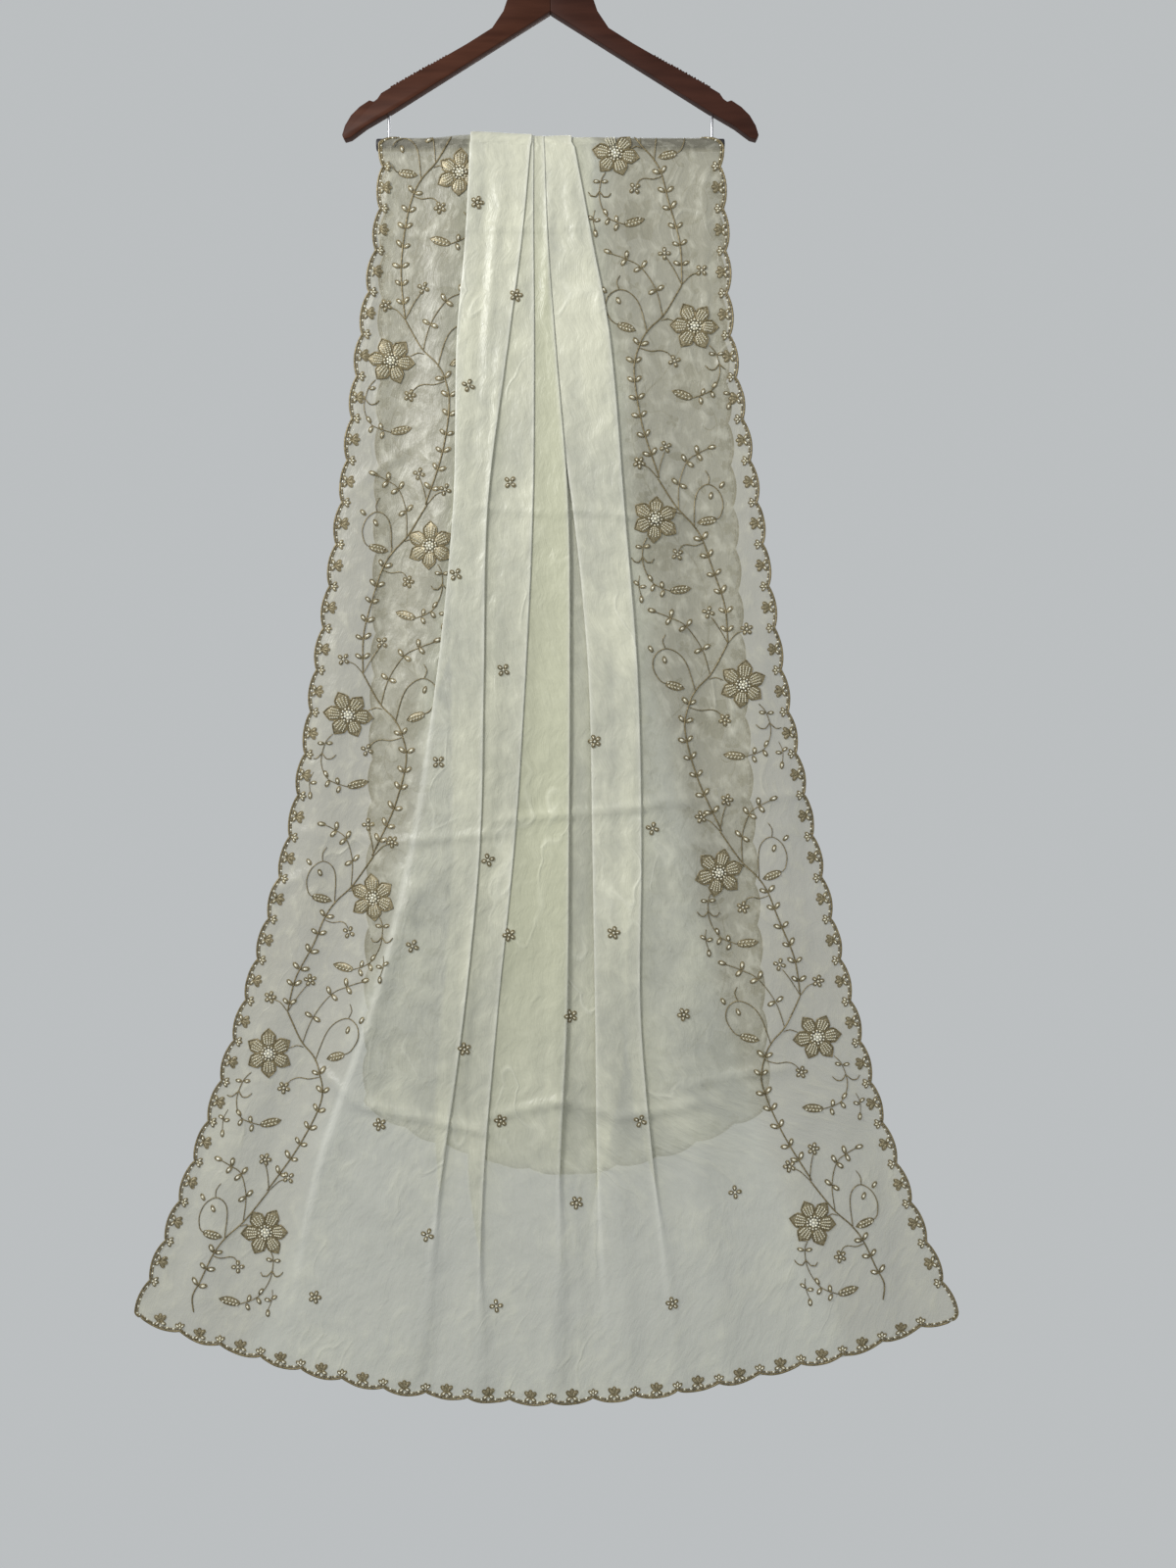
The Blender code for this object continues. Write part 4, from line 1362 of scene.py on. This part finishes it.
def buildRibs(arm, name, material):  # the fine grip teeth on the shoulder, across the arm
    way = -1.0 if name == "left" else 1.0
    size = ribs["points"]
    turns = [math.pi * n / (size - 1) for n in range(size)]
    vertices, faces = [], []
    for k in range(ribs["count"]):
        x = way * mix(ribs["first"], ribs["last"], k / (ribs["count"] - 1))
        hit, place, normal, face = arm.ray_cast(Vector((x, 0.0, 0.05)), Vector((0.0, 0.0, -1.0)))
        along = Vector((normal.z, 0.0, -normal.x)).normalized()
        outline = [place - normal * ribs["sunk"]
                   + normal * ((ribs["high"] + ribs["sunk"]) * math.sin(turn))
                   - along * (ribs["wide"] * math.cos(turn)) for turn in turns]
        base = len(vertices)
        for y in (-ribs["halfLong"], ribs["halfLong"]):
            vertices.extend(Vector((point.x, y, point.z)) for point in outline)
        for n in range(size):
            m = (n + 1) % size
            faces.append((base + n, base + m, base + size + m, base + size + n))
        faces.append(tuple(base + n for n in reversed(range(size))))
        faces.append(tuple(base + size + n for n in range(size)))
    piece = meshPiece("gripRibs" + name.title(), vertices, faces, [material])
    takeUp(piece)
    bpy.ops.object.mode_set(mode="EDIT")
    bpy.ops.mesh.select_all(action="SELECT")
    bpy.ops.mesh.normals_make_consistent(inside=False)
    bpy.ops.object.mode_set(mode="OBJECT")
    bpy.ops.object.shade_smooth_by_angle(angle=math.radians(50.0))
    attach(piece, "root")


def buildRod(name, node, radius, ends, material, turned):
    (x0, z0), (x1, z1) = ends
    deselectAll()
    bpy.ops.mesh.primitive_cylinder_add(
        vertices=40, radius=radius, depth=math.hypot(x1 - x0, z1 - z0),
        location=((x0 + x1) / 2, 0.0, (z0 + z1) / 2),
        rotation=(0.0, math.radians(90.0) if turned else 0.0, 0.0))
    rod = bpy.context.object
    rod.name = name
    finishHard(rod, node, material, radius * 0.25)


def buildHook(material):
    h = hanger
    foot, radius = h["hookFoot"], h["crookRadius"]
    centre = h["wireRadius"] - radius
    line = [(0.0, foot), (0.0, foot + 0.009), (0.0015, foot + 0.0150), (0.0060, foot + 0.0215)]
    for degrees in range(-52, 209, 5):
        turn = math.radians(degrees)
        line.append((radius * math.cos(turn), centre + radius * math.sin(turn)))
    curve = bpy.data.curves.new("wireHook", "CURVE")
    curve.dimensions = "3D"
    curve.bevel_depth = h["wireRadius"]
    curve.bevel_resolution = 6
    curve.use_fill_caps = True
    spline = curve.splines.new("POLY")
    spline.points.add(len(line) - 1)
    for point, (x, z) in zip(spline.points, line):
        point.co = (x, 0.0, z, 1.0)
    hook = bpy.data.objects.new("wireHook", curve)
    sceneObjects.link(hook)
    takeUp(hook)
    bpy.ops.object.convert(target="MESH")
    finishHard(bpy.context.object, "hook", material, 0.0004)


def buildHanger(looks):
    h = hanger
    buildArm("left", looks["woodLeftLit"])
    buildArm("right", looks["woodRightShaded"])
    buildHook(looks["steel"])
    buildRod("trouserBarTube", "trouser_bar", clothSizes["barRadius"],
             ((-h["barHalf"], barHeight), (h["barHalf"], barHeight)), looks["bar"], True)
    for name, x in (("left", -h["rodX"]), ("right", h["rodX"])):
        buildRod("rod" + name.title(), "rod_" + name, h["rodRadius"],
                 ((x, h["rodFoot"]), (x, h["rodTop"])), looks["steel"], False)
    print("hanger")


# the scalloped edging

edgingSizes = {
    "rim": 0.0012,
    "bead": 0.00115,
    "beadPitch": 0.0025,
    "beadIn": 0.0024,
    "innerCord": 0.0005,
    "innerIn": 0.0036,
    "step": 0.0025,
    "lift": 0.0004,
    "fanIn": 0.0085,
    "fanPetal": (0.0085, 0.0050),
    "fanLeaf": 0.0068,
    "pointIn": 0.0035,
    "pointLeaf": 0.0064,
    "underBar": 0.008,
}


def edgeLine(side, edge, inward, step, corner):
    lift = outwards(side) * edgingSizes["lift"]
    total = edge["lengths"][-1]
    places = []
    for k in range(int(total / step) + 1):
        place, out = edgeAt(edge, k * step)
        places.append(place + out * (scallopReach(k * step) - inward) + lift)
    if corner:  # round the corner to the hem
        place, out = edgeAt(edge, total)
        first, last = scallopReach(total), scallopReach(edge["hemLength"])
        count = int(1.5 * max(first, last) / step) + 1
        for k in range(count + 1):
            turn = math.pi / 2 * k / count
            reach = mix(first, last, k / count) - inward
            places.append(place + lift + out * (reach * math.cos(turn))
                          - Vector((0.0, 0.0, reach * math.sin(turn))))
    return places


def buildEdging(side, name, looks):
    e = edgingSizes
    edge = side["edges"][name]
    corner = name != "hem"
    edge["hemLength"] = side["edges"]["hem"]["lengths"][-1] if name == "right" else 0.0
    upward = outwards(side) if name == "hem" else Vector((1.0, 0.0, 0.0))
    works = newWorks()
    rim = edgeLine(side, edge, e["rim"], e["step"], corner)
    addTube(works["cord"], rim, e["rim"], upward)
    addTube(works["cord"], edgeLine(side, edge, e["innerIn"], e["step"], corner),
            e["innerCord"], upward)
    beads = edgeLine(side, edge, e["rim"] + e["beadIn"], e["beadPitch"], corner)
    # every third bead of the rope takes the bright bead finish, a painted glint
    for k, place in enumerate(beads):
        addBall(works["cord" if k % 3 else "bead"], place, e["bead"])
    surface = side if name == "hem" else side[name]
    for k in range(1, int(2.0 * edge["lengths"][-1] / scallops["pitch"])):
        length = k * scallops["pitch"] / 2.0
        place, out = edgeAt(edge, length)
        if place.z > barHeight - e["underBar"]:
            continue
        inward = math.atan2(-out.z, -out.x)
        reach = scallopReach(length)
        if k % 2:  # the middle of a scallop
            base = place + out * (reach - e["fanIn"])
            for spread in (-0.75, 0.0, 0.75):
                addPetal(works, surface, base.x, base.z, inward + spread, *e["fanPetal"])
            for spread in (-2.1, 2.1):
                addLeaf(works, surface, base.x, base.z, inward + spread, e["fanLeaf"])
        else:  # the point between two scallops
            base = place + out * (reach - e["pointIn"])
            for spread in (-0.85, 0.0, 0.85):
                addLeaf(works, surface, base.x, base.z, inward + spread, e["pointLeaf"])
    piece = stitchPiece("edging" + side["name"].title() + name.title(), works, looks)
    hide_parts("edging_" + side["name"] + "_" + name)


# the work itself

buildStage()
looks = makeMaterials()
front["creases"], back["creases"] = frontCreases, backCreases
for side in (back, front):
    surveySide(side)
    buildSections(side)
for side in (front, back):
    buildSheet(side, looks["organza"])
    for edgeName in ("left", "right", "hem"):
        buildEdging(side, edgeName, looks)
    buildEmbroidery(side, looks)
buildHanger(looks)
